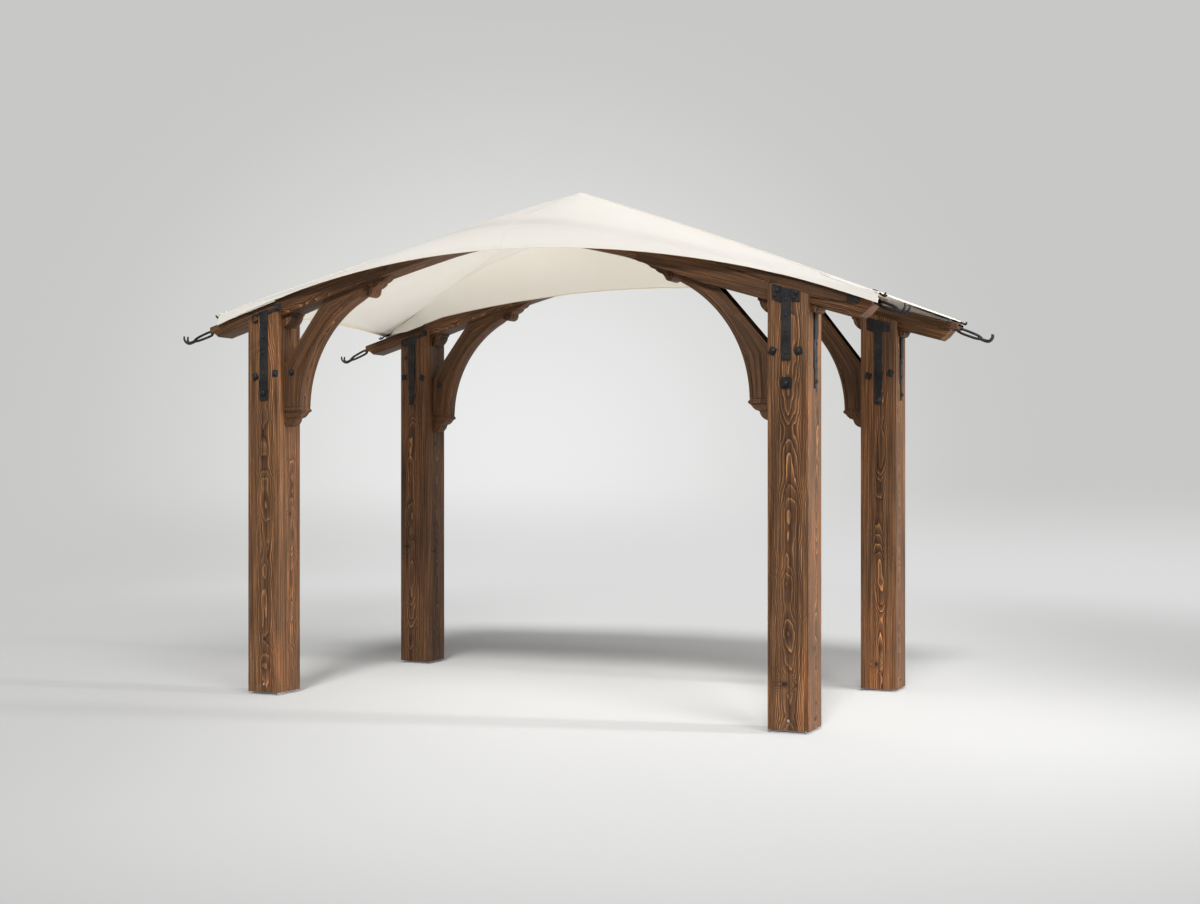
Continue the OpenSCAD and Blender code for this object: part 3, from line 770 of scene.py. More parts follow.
def iron_finish():
    """Blacked wrought iron: hammer dimples, a satin wax and worn, slightly brown spots."""
    made, tree, shader = new_material("black iron")
    where = put(tree, "TexCoord").outputs["Object"]
    cells = put(tree, "TexVoronoi", {"Vector": where, "Scale": 75.0}, feature="SMOOTH_F1")
    pits = noise(tree, where, 260.0, 3.0)
    cloud = noise(tree, where, 14.0, 4.0)
    worn = maths(tree, "ADD", cloud, maths(tree, "MULTIPLY", pits, 0.4))
    pitted = maths(tree, "MULTIPLY", pits, 0.25)
    height = maths(tree, "MULTIPLY_ADD", cells.outputs["Distance"], 1.2, pitted)
    brown = share(tree, cloud, 0.35, 0.75)
    feed(tree, shader, {
        "Base Color": mixed(tree, brown, (0.0085, 0.0090, 0.0102, 1), (0.030, 0.0275, 0.026, 1)),
        "Roughness": share(tree, worn, -0.35, 1.5),
        "Metallic": 0.20,
        "Specular IOR Level": 0.35,
        "Normal": bump(tree, height, 0.0022, 0.6),
    })
    return made


def forged(outline, thick, at=(0, 0)):
    """A plate from an outline (a, b): hammered a little out of true, its front rim drawn in."""
    outline = np.array(outline) + at
    line = spread(np.vstack([outline, outline[:1]]), 0.007)[:-1]
    line = line + rng.normal(0, HAMMERED, line.shape)
    return block(line, thick / 2, FORGED_EASE) + (0, thick / 2, 0)


def square_bolt(a, b, width, turn=0.0, washer=0.0, out=0.0):
    """A forged square head with a low pyramid top, at (a, b), on a square washer or on the plain face."""
    foot = [(width / 2, -0.001)]
    if washer:
        foot = [(washer / 2, -0.001), (washer / 2, 0.0018), (washer / 2 - 0.0012, 0.003), (width / 2, 0.0032)]
    profile = [*foot, (width / 2, 0.30 * width), (width * 0.42, 0.40 * width), (width * 0.12, 0.56 * width)]
    half, height = np.array(profile).T[..., None]
    square = np.array([(1, 1), (1, 0), (1, -1), (0, -1), (-1, -1), (-1, 0), (-1, 1), (0, 1)])
    soft = np.where(np.abs(square).sum(1, keepdims=True) > 1, square * 0.97, square)
    flat = soft @ np.array([[math.cos(turn), math.sin(turn)], [-math.sin(turn), math.cos(turn)]])
    return rows(a + flat[:, 0] * half, height + out, b + flat[:, 1] * half)


def stud(a, b, radius, out):
    """A hammered round rivet head at (a, b)."""
    turn = circle(14)
    reach, height = radius * np.array([(1, 0), (0.93, 0.25), (0.65, 0.48), (0.22, 0.58)]).T[..., None]
    return rows(a + reach * np.cos(turn), out + height, b + reach * np.sin(turn))


def cheeks(middle, wide, top, slope):
    """The arms of a right hand strap's T, each with two small bolts."""
    parts = []
    for way, width, tall in ((-1, 0.043, 0.078), (1, 0.042, 0.058)):
        near = middle + way * (wide / 2 + 0.0015)
        far = near + way * width
        high, high_far = [top + 0.002 + slope * (place - middle) for place in (near, far)]
        cheek = [(near, high), (far, high_far), (far, high_far - tall + 0.006), (near, high - tall)]
        parts.append(forged(cheek, 0.005))
        spot = (near + far) / 2
        parts.append(square_bolt(spot + 0.004, high - 0.020, 0.015, 0.3, out=0.005))
        parts.append(square_bolt(spot - 0.006, high - 0.043, 0.014, -0.2, out=0.005))
    return parts


def arm_and_curl(middle, wide, top, slope):
    """A left hand strap's arm with its bolted end, and the curl drawn out on its other side."""
    reach = 0.062
    arm = [(0, 0.009), (reach, 0.009 + slope * reach), (reach, -0.009 + slope * reach), (0, -0.009)]
    end = [(-0.020, 0.018), (0.020, 0.024), (0.020, -0.014), (-0.020, -0.018)]
    right, left, level = middle + wide / 2, middle - wide / 2, top + slope * 0.09 - 0.014
    turn = np.radians(np.linspace(60, 330, 26))
    curl = rows(left - 0.030 + 0.019 * np.cos(turn), 0.0045, top - 0.040 + 0.020 * np.sin(turn))
    lead = [(left + 0.004, 0.0045, top - 0.014), (left - 0.008, 0.0045, top - 0.018)]
    return [
        forged(arm, 0.005, (right - 0.01, top - 0.014)),
        forged(end, 0.006, (right + 0.066, level)),
        square_bolt(right + 0.066, level, 0.020, 0.2, out=0.006),
        rod(np.vstack([lead, curl]), np.linspace(0.0066, 0.0048, 28)),
    ]


def strap_parts(side, middle, wide, narrow, top, foot, plate_top, plate_foot, plate_wide):
    """One face's strap: the leg, the bolted plate under it, the rivets, and its arms or its curl."""
    slope = -side * math.tan(TAIL_SLOPE)
    lean = slope * wide / 2
    leg = [(-wide / 2, top - lean), (wide / 2, top + lean), (narrow / 2, foot), (-narrow / 2, foot)]
    tongue = [(-1, plate_top), (1, plate_top), (1, plate_foot + 0.006), (0.86, plate_foot),
              (-0.86, plate_foot), (-1, plate_foot + 0.006)]
    bolt_z = plate_foot * 0.60 + plate_top * 0.40
    parts = [
        forged(leg, 0.007, (middle, 0)),
        forged(tongue * np.array([plate_wide / 2, 1]), 0.006, (middle, 0)),
        square_bolt(middle, bolt_z, 0.026, rng.uniform(-0.2, 0.2), out=0.006),
    ]
    if plate_top > foot - 0.01:
        high, low, half = plate_top + 0.010, plate_top - 0.006, plate_wide / 2
        parts.append(forged([(-half, high), (half, high), (half, low), (-half, low)], 0.010, (middle, 0)))
    for part in (0.16, 0.38, 0.60, 0.90):
        parts.append(stud(middle + rng.uniform(-1, 1) * 0.002, top + (foot - top) * part, 0.0085, 0.007))
    arms = cheeks if side > 0 else arm_and_curl
    return parts + arms(middle, wide, top, slope)


def on_face(points, face, inner):
    """Turns (a, out, b) into the world: a is X, b is Z, and out leaves the post's outer or inner face."""
    x, out, z = np.moveaxis(points, -1, 0)
    return rows(x, face * (INSIDE_Y - out if inner else FACE_Y + out), z)


def board_sleeve(face):
    """The iron sleeve on an upper board's tip, kept just under the cloth."""
    x = BOARD_TIPS[face] - np.array([0.060, 0.057, 0.009, 0.006])
    high, deep = beam_lines(x, face)
    wide, low = BEAM_T / 2 + SLEEVE_GROWS, high - deep - SLEEVE_GROWS
    ends = ((-wide, high - 0.001), (wide, high - 0.001), (wide, low), (-wide, low))
    return np.stack([rows(x, face * ARCH_Y + y, z) for y, z in ends], 1)


iron = iron_finish()
for corner, (side, face) in CORNERS.items():
    straps, heads = [], []
    for inner in (False, True):
        straps += [on_face(part, face, inner) for part in strap_parts(side, *STRAPS[corner])]
        for spot, height in BOLTS[corner]:
            head = square_bolt(spot, height, 0.025, rng.uniform(-0.5, 0.5), 0.037)
            heads.append(on_face(head, face, inner))
    hand_over(skin(f"forged_strap_{corner}", straps, iron), "iron", f"face_strap_{corner}")

    tail_bolt = square_bolt(side * TAIL_BOLT_X, TAIL_BOLT_Z, 0.027, 0.25, 0.040, -0.118)
    knee_bolt = square_bolt(side * (INNER_X - 0.052), GAP_Z - 0.045, 0.022, 0.2, 0.030, -0.052)
    for inner in (False, True):
        for part in (tail_bolt, knee_bolt)[:2 if side < 0 else 1]:
            head = on_face(part, face, False)
            if inner:
                head = head * (1, -1, 1) + (0, 2 * face * ARCH_Y, 0)
            heads.append(head)
    if (side, face) == (1, -1):
        heads.append(board_sleeve(face))
    hand_over(skin(f"forged_bolts_{corner}", heads, iron), "iron", f"bolts_{corner}")

    band = eased(f"side_strap_{corner}", f"forged_side_strap_{corner}", BAND_EASE, iron)
    hand_over(band, "iron", f"side_strap_{corner}")


# --------------------------------------------------------------- tensioning hooks
# At each tail's end a forged eye holds a long link, and the link a two-tined hook that
# turns up. They are blacked bar, drawn out and bent hot.

TAIL_X = 1.900
HOOK_Z = tail_top_z(TAIL_X) - 0.016
DROOP = 0.11
FRONT_LEFT_DROOP = 0.02
FRONT_RIGHT_SWING = 0.60
SHANK = [(0.150, 0, 0.006), (0.160, 0, -0.003), (0.178, 0, -0.004), (0.196, 0, -0.003), (0.205, 0, -0.001)]
TINE = np.array([(0.196, 0, -0.003), (0.210, 0.006, 0.000), (0.218, 0.012, 0.012), (0.221, 0.015, 0.028),
                 (0.214, 0.017, 0.043)])
WIRE = [(0.010, -0.010, 0.010), (0.018, 0.0, 0.014), (0.030, 0.010, 0.004), (0.034, 0.0, -0.012),
        (0.024, -0.012, -0.006), (0.014, -0.006, 0.008)]


def hung(points, side, face):
    """Turns (along the slope, across, square to it) into the world, from the tail's end."""
    run, wide, rise = np.moveaxis(points, -1, 0)
    swing = FRONT_RIGHT_SWING * face if (side, face) == (1, -1) else 0.0
    run, wide = run * math.cos(swing) - wide * math.sin(swing), wide * math.cos(swing) + run * math.sin(swing)
    lean = TAIL_SLOPE + (FRONT_LEFT_DROOP if (side, face) == (-1, -1) else DROOP)
    x = TAIL_X + run * math.cos(lean) + rise * math.sin(lean)
    return rows(side * x, face * ARCH_Y + wide, HOOK_Z - run * math.sin(lean) + rise * math.cos(lean))


for corner, (side, face) in CORNERS.items():
    turn = np.linspace(0, 2 * math.pi, 25)
    cosine, sine = np.cos(turn), np.sin(turn)
    oval = np.sign(cosine) * np.abs(cosine) ** 0.55
    shank, wire = spread(SHANK, 0.004), spread(WIRE, 0.003)
    bars = [
        (rows(0.020 + 0.014 * cosine, 0.011 * sine, 0.004 * sine), 0.0072),
        ([(-0.004, 0, 0), (0.004, 0, 0.001), (0.010, 0, 0)], 0.0100),
        (rows(0.098 + 0.068 * oval, 0.003 * np.sin(turn * 2), 0.0115 * sine * (1 - 0.25 * cosine)), 0.0070),
        (shank, np.linspace(0.0080, 0.0096, len(shank))),
    ]
    for way in (-1, 1):
        tine = spread(TINE * (1, way, 1), 0.003)
        bars.append((tine, np.linspace(0.0088, 0.0044, len(tine))))
    bars.append((wire, 0.0044))
    plate = forged([(-0.020, 0.012), (0.020, 0.012), (0.020, -0.012), (-0.020, -0.012)], 0.006)
    parts = [rod(path, radius) for path, radius in bars]
    parts.append(rows(plate[..., 1] - 0.002, plate[..., 0], plate[..., 2]))
    hook = skin(f"forged_hook_{corner}", [hung(part, side, face) for part in parts], iron)
    hand_over(hook, "iron", f"hook_{corner}")


# ------------------------------------------------------------------- foot pins
# In the two bolt pockets at each post's foot show the heads of the zinc-plated steel
# pins, turned from bar and driven in, that fix the post to its base.

PIN_Z = 0.060
# the pin's outline: radius, and how far out of the post's face
PIN = np.array([(0.0082, -0.016), (0.0082, -0.008), (0.0070, -0.0055), (0.0030, -0.0045)])

for corner, (side, face) in CORNERS.items():
    low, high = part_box(f"post_{corner}")
    turn = circle(18)
    radius, out = PIN.T[..., None]
    wide, z = radius * np.cos(turn), PIN_Z + radius * np.sin(turn)
    on_front = rows((low.x + high.x) / 2 + wide, (high.y if face > 0 else low.y) + face * out, z)
    on_end = rows((high.x if side > 0 else low.x) + side * out, (low.y + high.y) / 2 + wide, z)
    hand_over(skin(f"foot_pins_{corner}", [on_front, on_end], galvanised), "galvanised")


# -------------------------------------------------------------------- canopy
# One sheet of cream canvas, sewn from four gores, stretched over the two beams and
# folded down over their faces as a valance, with a double hem all round.

PEAK = np.array([0, 0, 2.773])
REACH = {-1: 1.830, 1: 1.930}
CREASE_Y = 0.8504
HEM_Y = 0.862
FLARE = 0.080
HEM_Z = 2.368
HEM_R = 5.076
HEM_FOLD = 0.012
HEM_SAG = 0.26
HEM_WIDE = 0.022
BELLY = 0.012
SCALLOP = 0.070
CORNER_LIFTS = {-1: 0.044, 1: 0.022}
GATHER, GATHER_FAR = 0.0024, 0.20
CLOTH_T = 0.004
SEAT_GAP = 0.0004
THREAD = 0.0011
ROUND = 72
DOWN = 48


def soft_cloth(tree, shader, tint, height):
    """Gives a Principled node the rough, faintly downy surface of cotton."""
    feed(tree, shader, {
        "Base Color": tint,
        "Roughness": 0.85,
        "Specular IOR Level": 0.15,
        "Normal": bump(tree, height, 0.0004, 0.5),
    })


def canvas_finish(name, through, pale, cool=1.0):
    """Cream canvas: a plain weave along the cloth's own u and v, which lets a share of the light through.
    Pale and cool scale its colour; a paler, warmer copy of it is painted light.
    """
    made, tree, shader = new_material(name)
    cloth = put(tree, "UVMap", uv_map="cloth").outputs[0]
    u, v, _ = put(tree, "SeparateXYZ", {"Vector": cloth}).outputs
    warp, weft = [maths(tree, "SINE", maths(tree, "MULTIPLY", way, 2 * math.pi / THREAD)) for way in (u, v)]
    slub = noise(tree, cloth, 55.0, 3.0, (1, 6, 1))
    cloud = share(tree, noise(tree, cloth, 2.2, 3.0), 0.3, 0.75)
    low, high = [(red * pale, green * pale, blue * pale * cool, 1)
                 for red, green, blue in ((0.910, 0.872, 0.812), (0.935, 0.905, 0.858))]
    thick = maths(tree, "MULTIPLY", share(tree, slub, 0.45, 0.8), 0.10)
    tint = mixed(tree, thick, mixed(tree, cloud, low, high), (0.74, 0.68, 0.58, 1))
    weave = maths(tree, "MULTIPLY", warp, weft)
    soft_cloth(tree, shader, tint, maths(tree, "MULTIPLY_ADD", weave, 0.5, slub))
    shader.inputs["Sheen Weight"].default_value = 0.15
    warm = mixed(tree, 1.0, tint, (1.0, 0.965, 0.900, 1), "MULTIPLY")
    lit = put(tree, "BsdfTranslucent", {"Color": warm})
    both = put(tree, "MixShader", {0: through, 1: shader.outputs[0], 2: lit.outputs[0]})
    feed(tree, tree.nodes["Material Output"], {"Surface": both.outputs[0]})
    return made


def tape_finish():
    """Hem tape and piping: the same cotton a shade darker and warmer, with a fine twill."""
    made, tree, shader = new_material("hem tape")
    where = put(tree, "TexCoord").outputs["Object"]
    cloud, fine = noise(tree, where, 9.0, 3.0), noise(tree, where, 420.0, 2.0)
    tint = mixed(tree, cloud, (0.82, 0.745, 0.620, 1), (0.88, 0.82, 0.71, 1))
    tint = mixed(tree, maths(tree, "MULTIPLY", fine, 0.25), tint, (0.68, 0.59, 0.46, 1))
    soft_cloth(tree, shader, tint, fine)
    return made


def edge_z(x):
    """The cloth's upper line over a beam: on the arch, then straight to the corner above the tail."""
    x = np.asarray(x)
    away, start = np.abs(x), top_z(INNER_X)
    finish = tail_top_z(REACH[-1]) + np.where(x < 0, CORNER_LIFTS[-1], CORNER_LIFTS[1])
    on_tail = start + (finish - start) * (away - INNER_X) / (REACH[-1] - INNER_X)
    return SEAT_GAP + CLOTH_T + np.where(away <= INNER_X, top_z(away), on_tail)


def grid_mesh(name, points, uv, material):
    """An open sheet over a grid of points (rows, columns, 3), with its own u and v in metres."""
    count, columns, _ = points.shape
    corner = np.arange(count - 1)[:, None] * columns + np.arange(columns - 1)
    faces = rows(corner, corner + 1, corner + columns + 1, corner + columns).reshape(-1, 4)
    mesh = bpy.data.meshes.new(name)
    mesh.from_pydata(points.reshape(-1, 3), [], faces.tolist())
    layer = mesh.uv_layers.new(name="cloth")
    layer.data.foreach_set("uv", uv.reshape(-1, 2)[faces.ravel()].astype(np.float32).ravel())
    mesh.materials.append(material)
    mesh.shade_smooth()
    return new_piece(name, mesh)


def gathers(points):
    """Lift of the cloth near its corners: shallow folds that fan out of each corner and die away.

    The lift is a wave in the angle about the corner, times a swell that rises and falls with
    the distance from it.
    """
    lift = np.zeros(points.shape[:-1])
    for side, face in CORNERS.values():
        run, wide = REACH[side] - side * points[..., 0], CREASE_Y - face * points[..., 1]
        away, angle = np.hypot(run, wide) / GATHER_FAR, np.arctan2(wide, run + 1e-6)
        wave = np.sin(angle * 9 + 0.6 * side) * fade(angle, 0.0, 0.15) * fade(angle, 1.5, 1.30)
        lift += GATHER * away * np.exp(1 - away) * wave
    return lift


def pulled(rim, t):
    """A straight pull from the peak to the rim at the share t, lifted by the belly."""
    return PEAK + (rim - PEAK) * t + np.array([0, 0, 1]) * BELLY * 4 * t * (1 - t)


def roof(rim, t):
    """The pull from the peak to the rim, with the gathers on it."""
    line = pulled(rim, t)
    line[..., 2] += gathers(line)
    return line


def long_rim(face):
    """Rim and hem of the front or back gore, from its left corner to its right corner."""
    x = np.concatenate([np.linspace(-REACH[-1], -INNER_X, 13)[:-1], np.linspace(-INNER_X, INNER_X, 2 * ROUND),
                        np.linspace(INNER_X, REACH[1], 15)[1:]])
    hem_z = np.minimum(HEM_Z - x * x / (2 * HEM_R), edge_z(x) - HEM_FOLD)
    flare = FLARE * np.clip(1 - (x / INNER_X) ** 2, 0, 1)
    return rows(x, face * CREASE_Y, edge_z(x)), rows(x, face * (HEM_Y + flare), hem_z - HEM_SAG * flare)


def short_rim(side):
    """Free edge of the left or right gore, which the pull of its corners draws in between them."""
    v = np.linspace(-1, 1, ROUND)
    t = (1 - SCALLOP * (1 - v * v) / REACH[side])[:, None]
    return pulled(rows(side * REACH[side], v * CREASE_Y, edge_z(side * REACH[side])), t), v


def ribbon(path, across, width, thick):
    """A flat tape along a path: a thin rounded section, wide in the direction given at each point."""
    along = np.gradient(path, axis=0)
    across = across - along * (np.sum(across * along, 1) / np.sum(along * along, 1))[:, None]
    across = unit(across)
    out = unit(np.cross(along, across))
    shape = np.array([(0.5, 0.12), (0.44, 0.5), (0, 0.5), (-0.44, 0.5), (-0.5, 0.12), (-0.5, -0.12),
                      (-0.44, -0.5), (0, -0.5), (0.44, -0.5), (0.5, -0.12)])
    return path[:, None] + across[:, None] * (shape[:, :1] * width) + out[:, None] * (shape[:, 1:] * thick)


canvas = canvas_finish("canvas", 0.17, 0.870)
# a paler, warmer copy of the canvas for the facing, which hangs in shade: painted light
painted_light_copy = canvas_finish("canvas lining", 0.15, 0.985, 0.970)
tape = tape_finish()

# the gores, from the peak to the rim, and the valances of the long ones from rim to hem
pull = np.linspace(0, 1, DOWN)[:, None, None]
turned = np.linspace(0, 1, 6)[1:, None, None]
gores = []
for face in (-1, 1):
    rim, hem = long_rim(face)
    gores.append((np.vstack([roof(rim, pull), rim + (hem - rim) * turned]), rim[:, 0]))
for side in (-1, 1):
    rim, across = short_rim(side)
    gores.append((roof(rim, pull), across))
shape = bmesh.new()
for points, across in gores:
    v = np.cumsum(np.linalg.norm(np.diff(points, axis=0, prepend=points[:1]), axis=2), 0)
    gore = grid_mesh("gore", points, rows(across, v), canvas)
    shape.from_mesh(gore.data)
    bpy.data.objects.remove(gore)
bmesh.ops.remove_doubles(shape, verts=shape.verts, dist=1e-4)
bmesh.ops.recalc_face_normals(shape, faces=shape.faces)
mesh = bpy.data.meshes.new("canopy")
shape.to_mesh(mesh)
shape.free()
mesh.materials.append(canvas)
mesh.shade_smooth()
canopy = new_piece("canopy", mesh)
hand_over(canopy, "canvas", "canopy_front", "canopy_back", "canopy_left", "canopy_right")

# seams: a felled seam down each hip, and one down the middle of the long gores
SEAM_T = 0.0036
hip_seams, plain_seams = [], []
t = np.linspace(0.004, 1, 60)[:, None]
for side, face in CORNERS.values():
    hip = roof(rows(side * REACH[side], face * CREASE_Y, edge_z(side * REACH[side]))[None], t)
    hip_seams.append(ribbon(hip, np.array([face * 0.42, -side * 0.9, 0.0]), 0.017, SEAM_T))
seam_piece = hand_over(skin("canopy_hip_seams", hip_seams, tape), "canvas")
for face in (-1, 1):
    crease = rows(0, face * CREASE_Y, edge_z(0))
    hem_point = rows(0, face * (HEM_Y + FLARE), HEM_Z - HEM_SAG * FLARE)
    line = np.vstack([roof(crease[None], t), crease + (hem_point - crease) * np.linspace(0.1, 1, 8)[:, None]])
    plain_seams.append(ribbon(line, np.array([1.0, 0, 0]), 0.015, SEAM_T))
middle_seams = hand_over(skin("canopy_middle_seams", plain_seams, canvas), "canvas")

# hems: a turned double edge along each valance, and piping along the free side edges
hems, pipings = [], []
for face in (-1, 1):
    rim, fold = long_rim(face)
    tall = np.linalg.norm(rim - fold, axis=1)[:, None]
    up = (rim - fold) / tall
    hems.append(ribbon(fold + up * np.minimum(HEM_WIDE, tall * 0.9) * 0.5, up, HEM_WIDE, 0.0040))
    pipings.append(rod(fold, 0.0026, 8))
for side in (-1, 1):
    edge = roof(short_rim(side)[0], np.ones((1, 1)))
    inward = unit(PEAK - edge)
    pipings.append(rod(edge, 0.0040, 8))
    pipings.append(ribbon(edge + inward * 0.016, inward, 0.030, 0.0030))
hem_piece = hand_over(skin("canopy_valance_hems", hems, canvas), "canvas")
piping_piece = hand_over(skin("canopy_edge_piping", pipings, tape), "canvas")

# facing: an inner fold of the same cloth that leaves the roof in a soft curve and hangs inside
# the back beam, where it hides the crown; its right end is tucked in on top of the beam, and
# its left end is sewn into the hip's seam and runs on past the post to the cloth's corner
FACING_Y = 0.698
FACING_X = 1.290
FACING_END = 1.420
FACING_TUCK = 1.795
FACING_Z = 2.307
FACING_R = 7.5
UNDER_ROOF = 0.0016
past_post = np.linspace(-FACING_TUCK, -FACING_END, 20)[:-1]
x = np.concatenate([past_post, np.linspace(-FACING_END, FACING_END, 2 * ROUND + 30)])
away = np.abs(x)
tucked = np.where(x < 0, fade(away, FACING_TUCK - 0.12, FACING_TUCK - 0.01), fade(x, FACING_X - 0.02, 1.39))
on_top = np.where(x < 0, fade(away, 1.56, 1.68), 1.0)
timber_top = np.where(away < SEAT_X, top_z(x), tail_top_z(x))
on_timber = timber_top - 0.0140 * (1 - on_top) + 0.0015 * on_top
low_edge = np.where(away < FACING_X, FACING_Z - x * x / (2 * FACING_R), on_timber)
low = rows(x, FACING_Y + 0.140 * tucked, low_edge)
high_y = FACING_Y - 0.300 * np.clip(1 - (x / FACING_X) ** 2, 0, 1) + 0.146 * fade(x, FACING_X - 0.05, 1.40)
high_y += (CREASE_Y / REACH[-1] * away - high_y) * np.where(x < 0, fade(away, 0.2, 1.2), 0.0)


def under_roof(x, y):
    """Points of the roof's underside, on whichever gore lies over (x, y)."""
    t = np.maximum(y / CREASE_Y, np.abs(x) / np.where(x < 0, REACH[-1], REACH[1]))
    found = roof(rows(x / t, y / t, edge_z(x / t)), t[:, None])
    return rows(x, y, found[:, 2] - UNDER_ROOF)


s = np.linspace(0, 1, 15)[:, None, None]
bend = under_roof(x, high_y + 0.55 * (low[:, 1] - high_y))
sheet = (1 - s) ** 2 * under_roof(x, high_y) + 2 * s * (1 - s) * bend + s ** 2 * low
# the facing wears the paler, warmer copy of the canvas: painted light
facing = hand_over(grid_mesh("canopy_facing", sheet, sheet[..., ::2], painted_light_copy), "canvas")
low = low[18:-18]
hem_tape = ribbon(low + (0, -0.004, 0.021), np.array([0, 0, 1.0]), 0.0035, 0.0030)
facing_hem = hand_over(skin("canopy_facing_hem", [rod(low, 0.0032, 8), hem_tape], tape), "canvas")

# corner patches, an eyelet and an S-hook that ties each corner down to its tail
PATCH_REACH = 0.140
PATCH_HALF = 0.0028
TIE = [(-0.006, 0, 0.004), (0.010, 0, 0.008), (0.030, 0, 0.004), (0.048, 0, -0.004), (0.060, 0.004, -0.002),
       (0.066, 0.008, 0.010)]
FORK = [(0.048, 0, -0.018), (0.060, -0.006, -0.024), (0.070, -0.008, -0.018)]
patches, hooks = [], []
for points, across in gores[:2]:
    for side in (-1, 1):
        corner_sheet = points[DOWN - 6:DOWN, side * across > REACH[side] - PATCH_REACH]
        lower, upper = corner_sheet - (0, 0, PATCH_HALF), corner_sheet + (0, 0, PATCH_HALF)
        patches.append(np.concatenate([upper, lower[:, ::-1]], 1))
patch_piece = hand_over(skin("canopy_corner_patches", patches, canvas), "canvas")
turn = np.linspace(0, 2 * math.pi, 21)
for side, face in CORNERS.values():
    way = (side, face, 1)
    start = rows(side * (REACH[side] - 0.035), face * (CREASE_Y - 0.02), edge_z(side * REACH[side]) + 0.006)
    hooks.append(rod(start + 0.010 * rows(np.cos(turn), np.sin(turn), -0.3 * side * np.cos(turn)), 0.0044, 8))
    tie = np.array([(run, wide, rise - 0.28 * abs(run)) for run, wide, rise in TIE])
    for path, thick, thin in ((tie, 0.0068, 0.0046), (np.array(FORK), 0.0056, 0.0038)):
        bent = spread(start + path * way, 0.003)
        hooks.append(rod(bent, np.linspace(thick, thin, len(bent)), 8))
hook_piece = hand_over(skin("canopy_corner_hooks", hooks, iron), "iron")


# -------------------------------------------------------------------- studio
# A pale round cove, which isn't part of the object: a matt floor, painted paler along a
# strip as a pool of light, that runs up into a grey wall all round, with a painted pool of
# light on it behind the pergola. Two broad far lamps from the front and the right, and two
# softboxes, one beside the pergola and one low under the cloth.

STAGE_R = 14.0
STAGE_H = 7.6
BEND_R = 4.0
# the floor's paint inside the painted pool of light, and away from it
FLOOR_PAINTED_POOL = (0.722, 0.722, 0.717, 1)
FLOOR_EDGE = (0.572, 0.572, 0.565, 1)
FLOOR_FAR = (0.708, 0.713, 0.708, 1)
FLOOR_BOUNCE = (0.86, 0.86, 0.85, 1)
WALL_GREY = (0.578, 0.578, 0.565, 1)
WALL_POOL = (0.835, 0.84, 0.835, 1)
POOL_AT = (-6.7, 12.0, 1.0)
BACK_AT = (-1.0, 9.0, 0.0)
# the strip of floor painted paler as a pool of light, from its near end towards the back
PAINTED_POOL_START = (1.97, -2.34, 0.0)
PAINTED_POOL_WAY = (-0.392, 0.920, 0.0)
PAINTED_POOL_LENGTH = 9.6
FILL = (0.235, 0.235, 0.235, 1)


def cove():
    """A lathed bowl: flat to the bend, a quarter round, then an upright wall, turned about Z."""
    flat = np.linspace(0.001, STAGE_R - BEND_R, 30)
    bend = np.linspace(0, math.pi / 2, 16)[1:]
    radius = np.concatenate([flat, STAGE_R - BEND_R + BEND_R * np.sin(bend), [STAGE_R]])[:, None]
    height = np.concatenate([np.zeros(30), BEND_R - BEND_R * np.cos(bend), [STAGE_H]])[:, None]
    turn = np.linspace(0, 2 * math.pi, 97)
    return rows(radius * np.cos(turn), radius * np.sin(turn), height)


def seen_directly(tree):
    """1 for camera rays and for rays through or off a shiny surface, 0 for the rays that carry light."""
    ray = put(tree, "LightPath").outputs
    shiny = maths(tree, "MAXIMUM", ray["Is Glossy Ray"], ray["Is Transmission Ray"])
    return maths(tree, "MAXIMUM", ray["Is Camera Ray"], shiny)


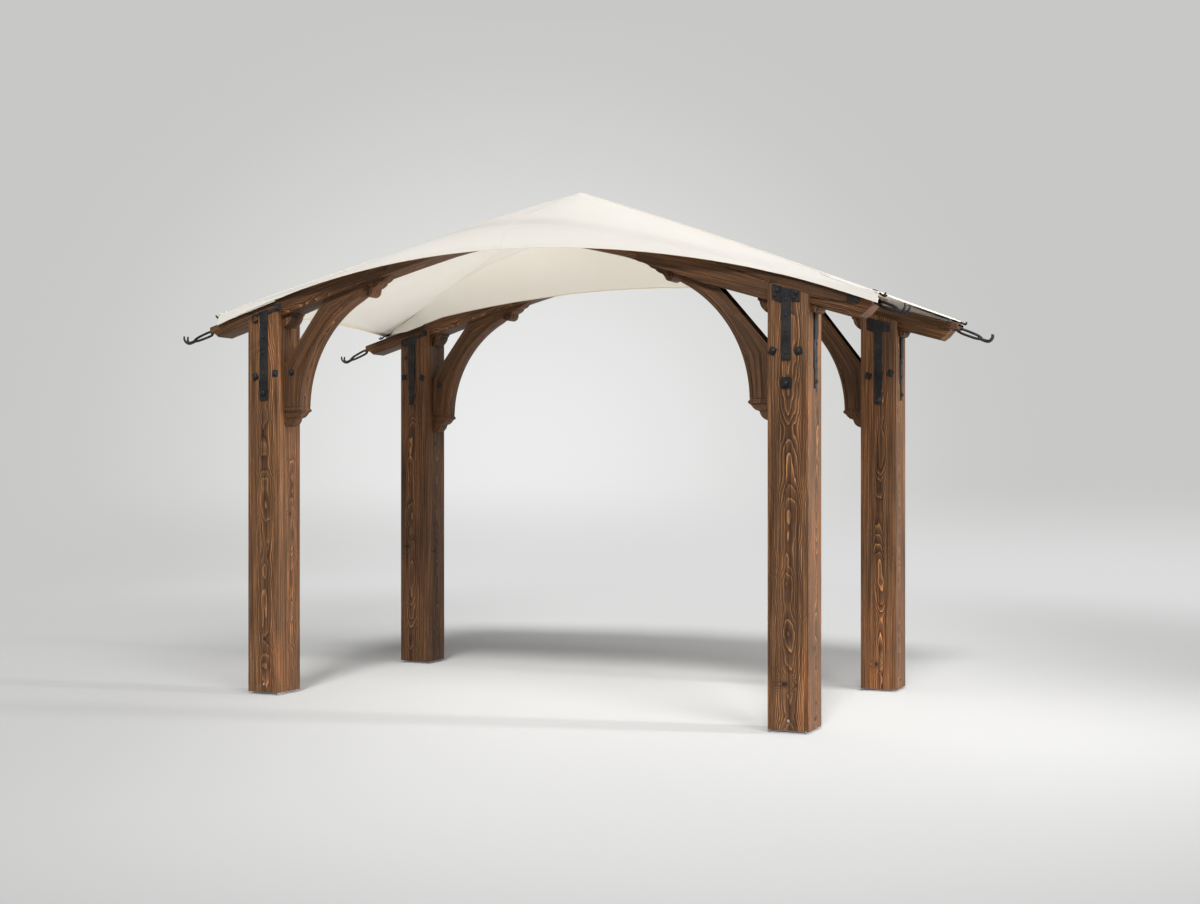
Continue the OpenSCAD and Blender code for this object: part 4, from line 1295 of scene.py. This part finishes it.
def cove_finish():
    """Matt paint near by, lit by the lamps and painted paler along a strip as a pool of light; further out,
    its own even grey for camera and mirror rays.
    """
    made, tree, _ = new_material("cove paint")
    where = put(tree, "TexCoord").outputs["Object"]
    x, y, z = put(tree, "SeparateXYZ", {"Vector": where}).outputs
    far = share(tree, vectors(tree, "LENGTH", flat_vector(tree, x, y)), 4.0, 9.0)
    direct = seen_directly(tree)

    # far out: a pool of light on the wall, and a floor that turns into the wall's grey
    wall = mixed(tree, share(tree, vectors(tree, "DISTANCE", where, POOL_AT), 7.2, 0.3), WALL_GREY, WALL_POOL)
    back = share(tree, vectors(tree, "DISTANCE", where, BACK_AT), 4.5, 9.0)
    paint = mixed(tree, share(tree, z, 1.1, 0.0), wall, mixed(tree, back, FLOOR_FAR, WALL_GREY))
    shine = put(tree, "Emission", {"Color": mixed(tree, direct, FILL, paint), "Strength": 1.0})

    # near by: a painted pool of light, paler paint along the strip by the distance from its nearest point
    from_start = vectors(tree, "SUBTRACT", where, PAINTED_POOL_START)
    along = maths(tree, "MAXIMUM", vectors(tree, "DOT_PRODUCT", from_start, PAINTED_POOL_WAY), 0.0)
    nearest = vectors(tree, "MULTIPLY", maths(tree, "MINIMUM", along, PAINTED_POOL_LENGTH), PAINTED_POOL_WAY)
    beside = share(tree, vectors(tree, "DISTANCE", from_start, nearest), 0.9, 3.5)
    ground = mixed(tree, direct, FLOOR_BOUNCE, mixed(tree, beside, FLOOR_PAINTED_POOL, FLOOR_EDGE))
    matt = put(tree, "BsdfDiffuse", {"Color": ground})
    both = put(tree, "MixShader", {0: far, 1: matt.outputs[0], 2: shine.outputs[0]})
    feed(tree, tree.nodes["Material Output"], {"Surface": both.outputs[0]})
    return made


def hold(name, lamp, towards, place=(0, 0, 0)):
    """Stand a lamp at a place, with its back to the direction given."""
    stand = new_piece(name, lamp)
    stand.location = place
    stand.rotation_euler = Vector(towards).to_track_quat("Z", "Y").to_euler()
    return stand


def sun(name, towards, strength, width):
    """A far lamp in the direction given, as wide as its angle in degrees."""
    lamp = bpy.data.lights.new(name, "SUN")
    lamp.energy = strength
    lamp.angle = math.radians(width)
    hold(name, lamp, towards)


def softbox(name, place, aim, size, power, colour=(1, 1, 1)):
    """A gridded area lamp that faces the point aimed at; its size is its width and its height."""
    lamp = bpy.data.lights.new(name, "AREA")
    lamp.shape = "RECTANGLE"
    lamp.size, lamp.size_y = size
    lamp.energy = power
    lamp.color = colour
    lamp.spread = math.radians(70)
    hold(name, lamp, Vector(place) - Vector(aim), place).visible_camera = False


bowl = cove()
floor = grid_mesh("cove", bowl, bowl[..., :2], cove_finish())
sun("key", (0.28, -0.95, 1.0), 2.28, 14)
sun("second", (0.78, -0.60, 1.0), 1.05, 26)
softbox("side", (7.6, 0.78, 1.9), (0, -1.0, 1.9), (0.5, 2.8), 80)
softbox("lift", (0, 0.1, 0.04), (0, 0.1, 2.0), (2.4, 1.1), 5.0, (1.0, 0.945, 0.86))
world = bpy.data.worlds.new("studio air")
scene.world = world
world.use_nodes = True
air = world.node_tree
feed(air, air.nodes["Background"], {"Color": mixed(air, seen_directly(air), FILL, WALL_GREY)})

camera = bpy.data.cameras.new("camera")
camera.lens = 48.51
camera.sensor_width = 36.0
camera.shift_y = 0.0117
camera.clip_end = 100.0
held = new_piece("camera", camera)
held.location = (3.9392, -8.0948, 1.2527)
held.rotation_euler = (math.radians(90), 0, math.radians(25.27))
scene.camera = held
scene.view_settings.view_transform = "Standard"
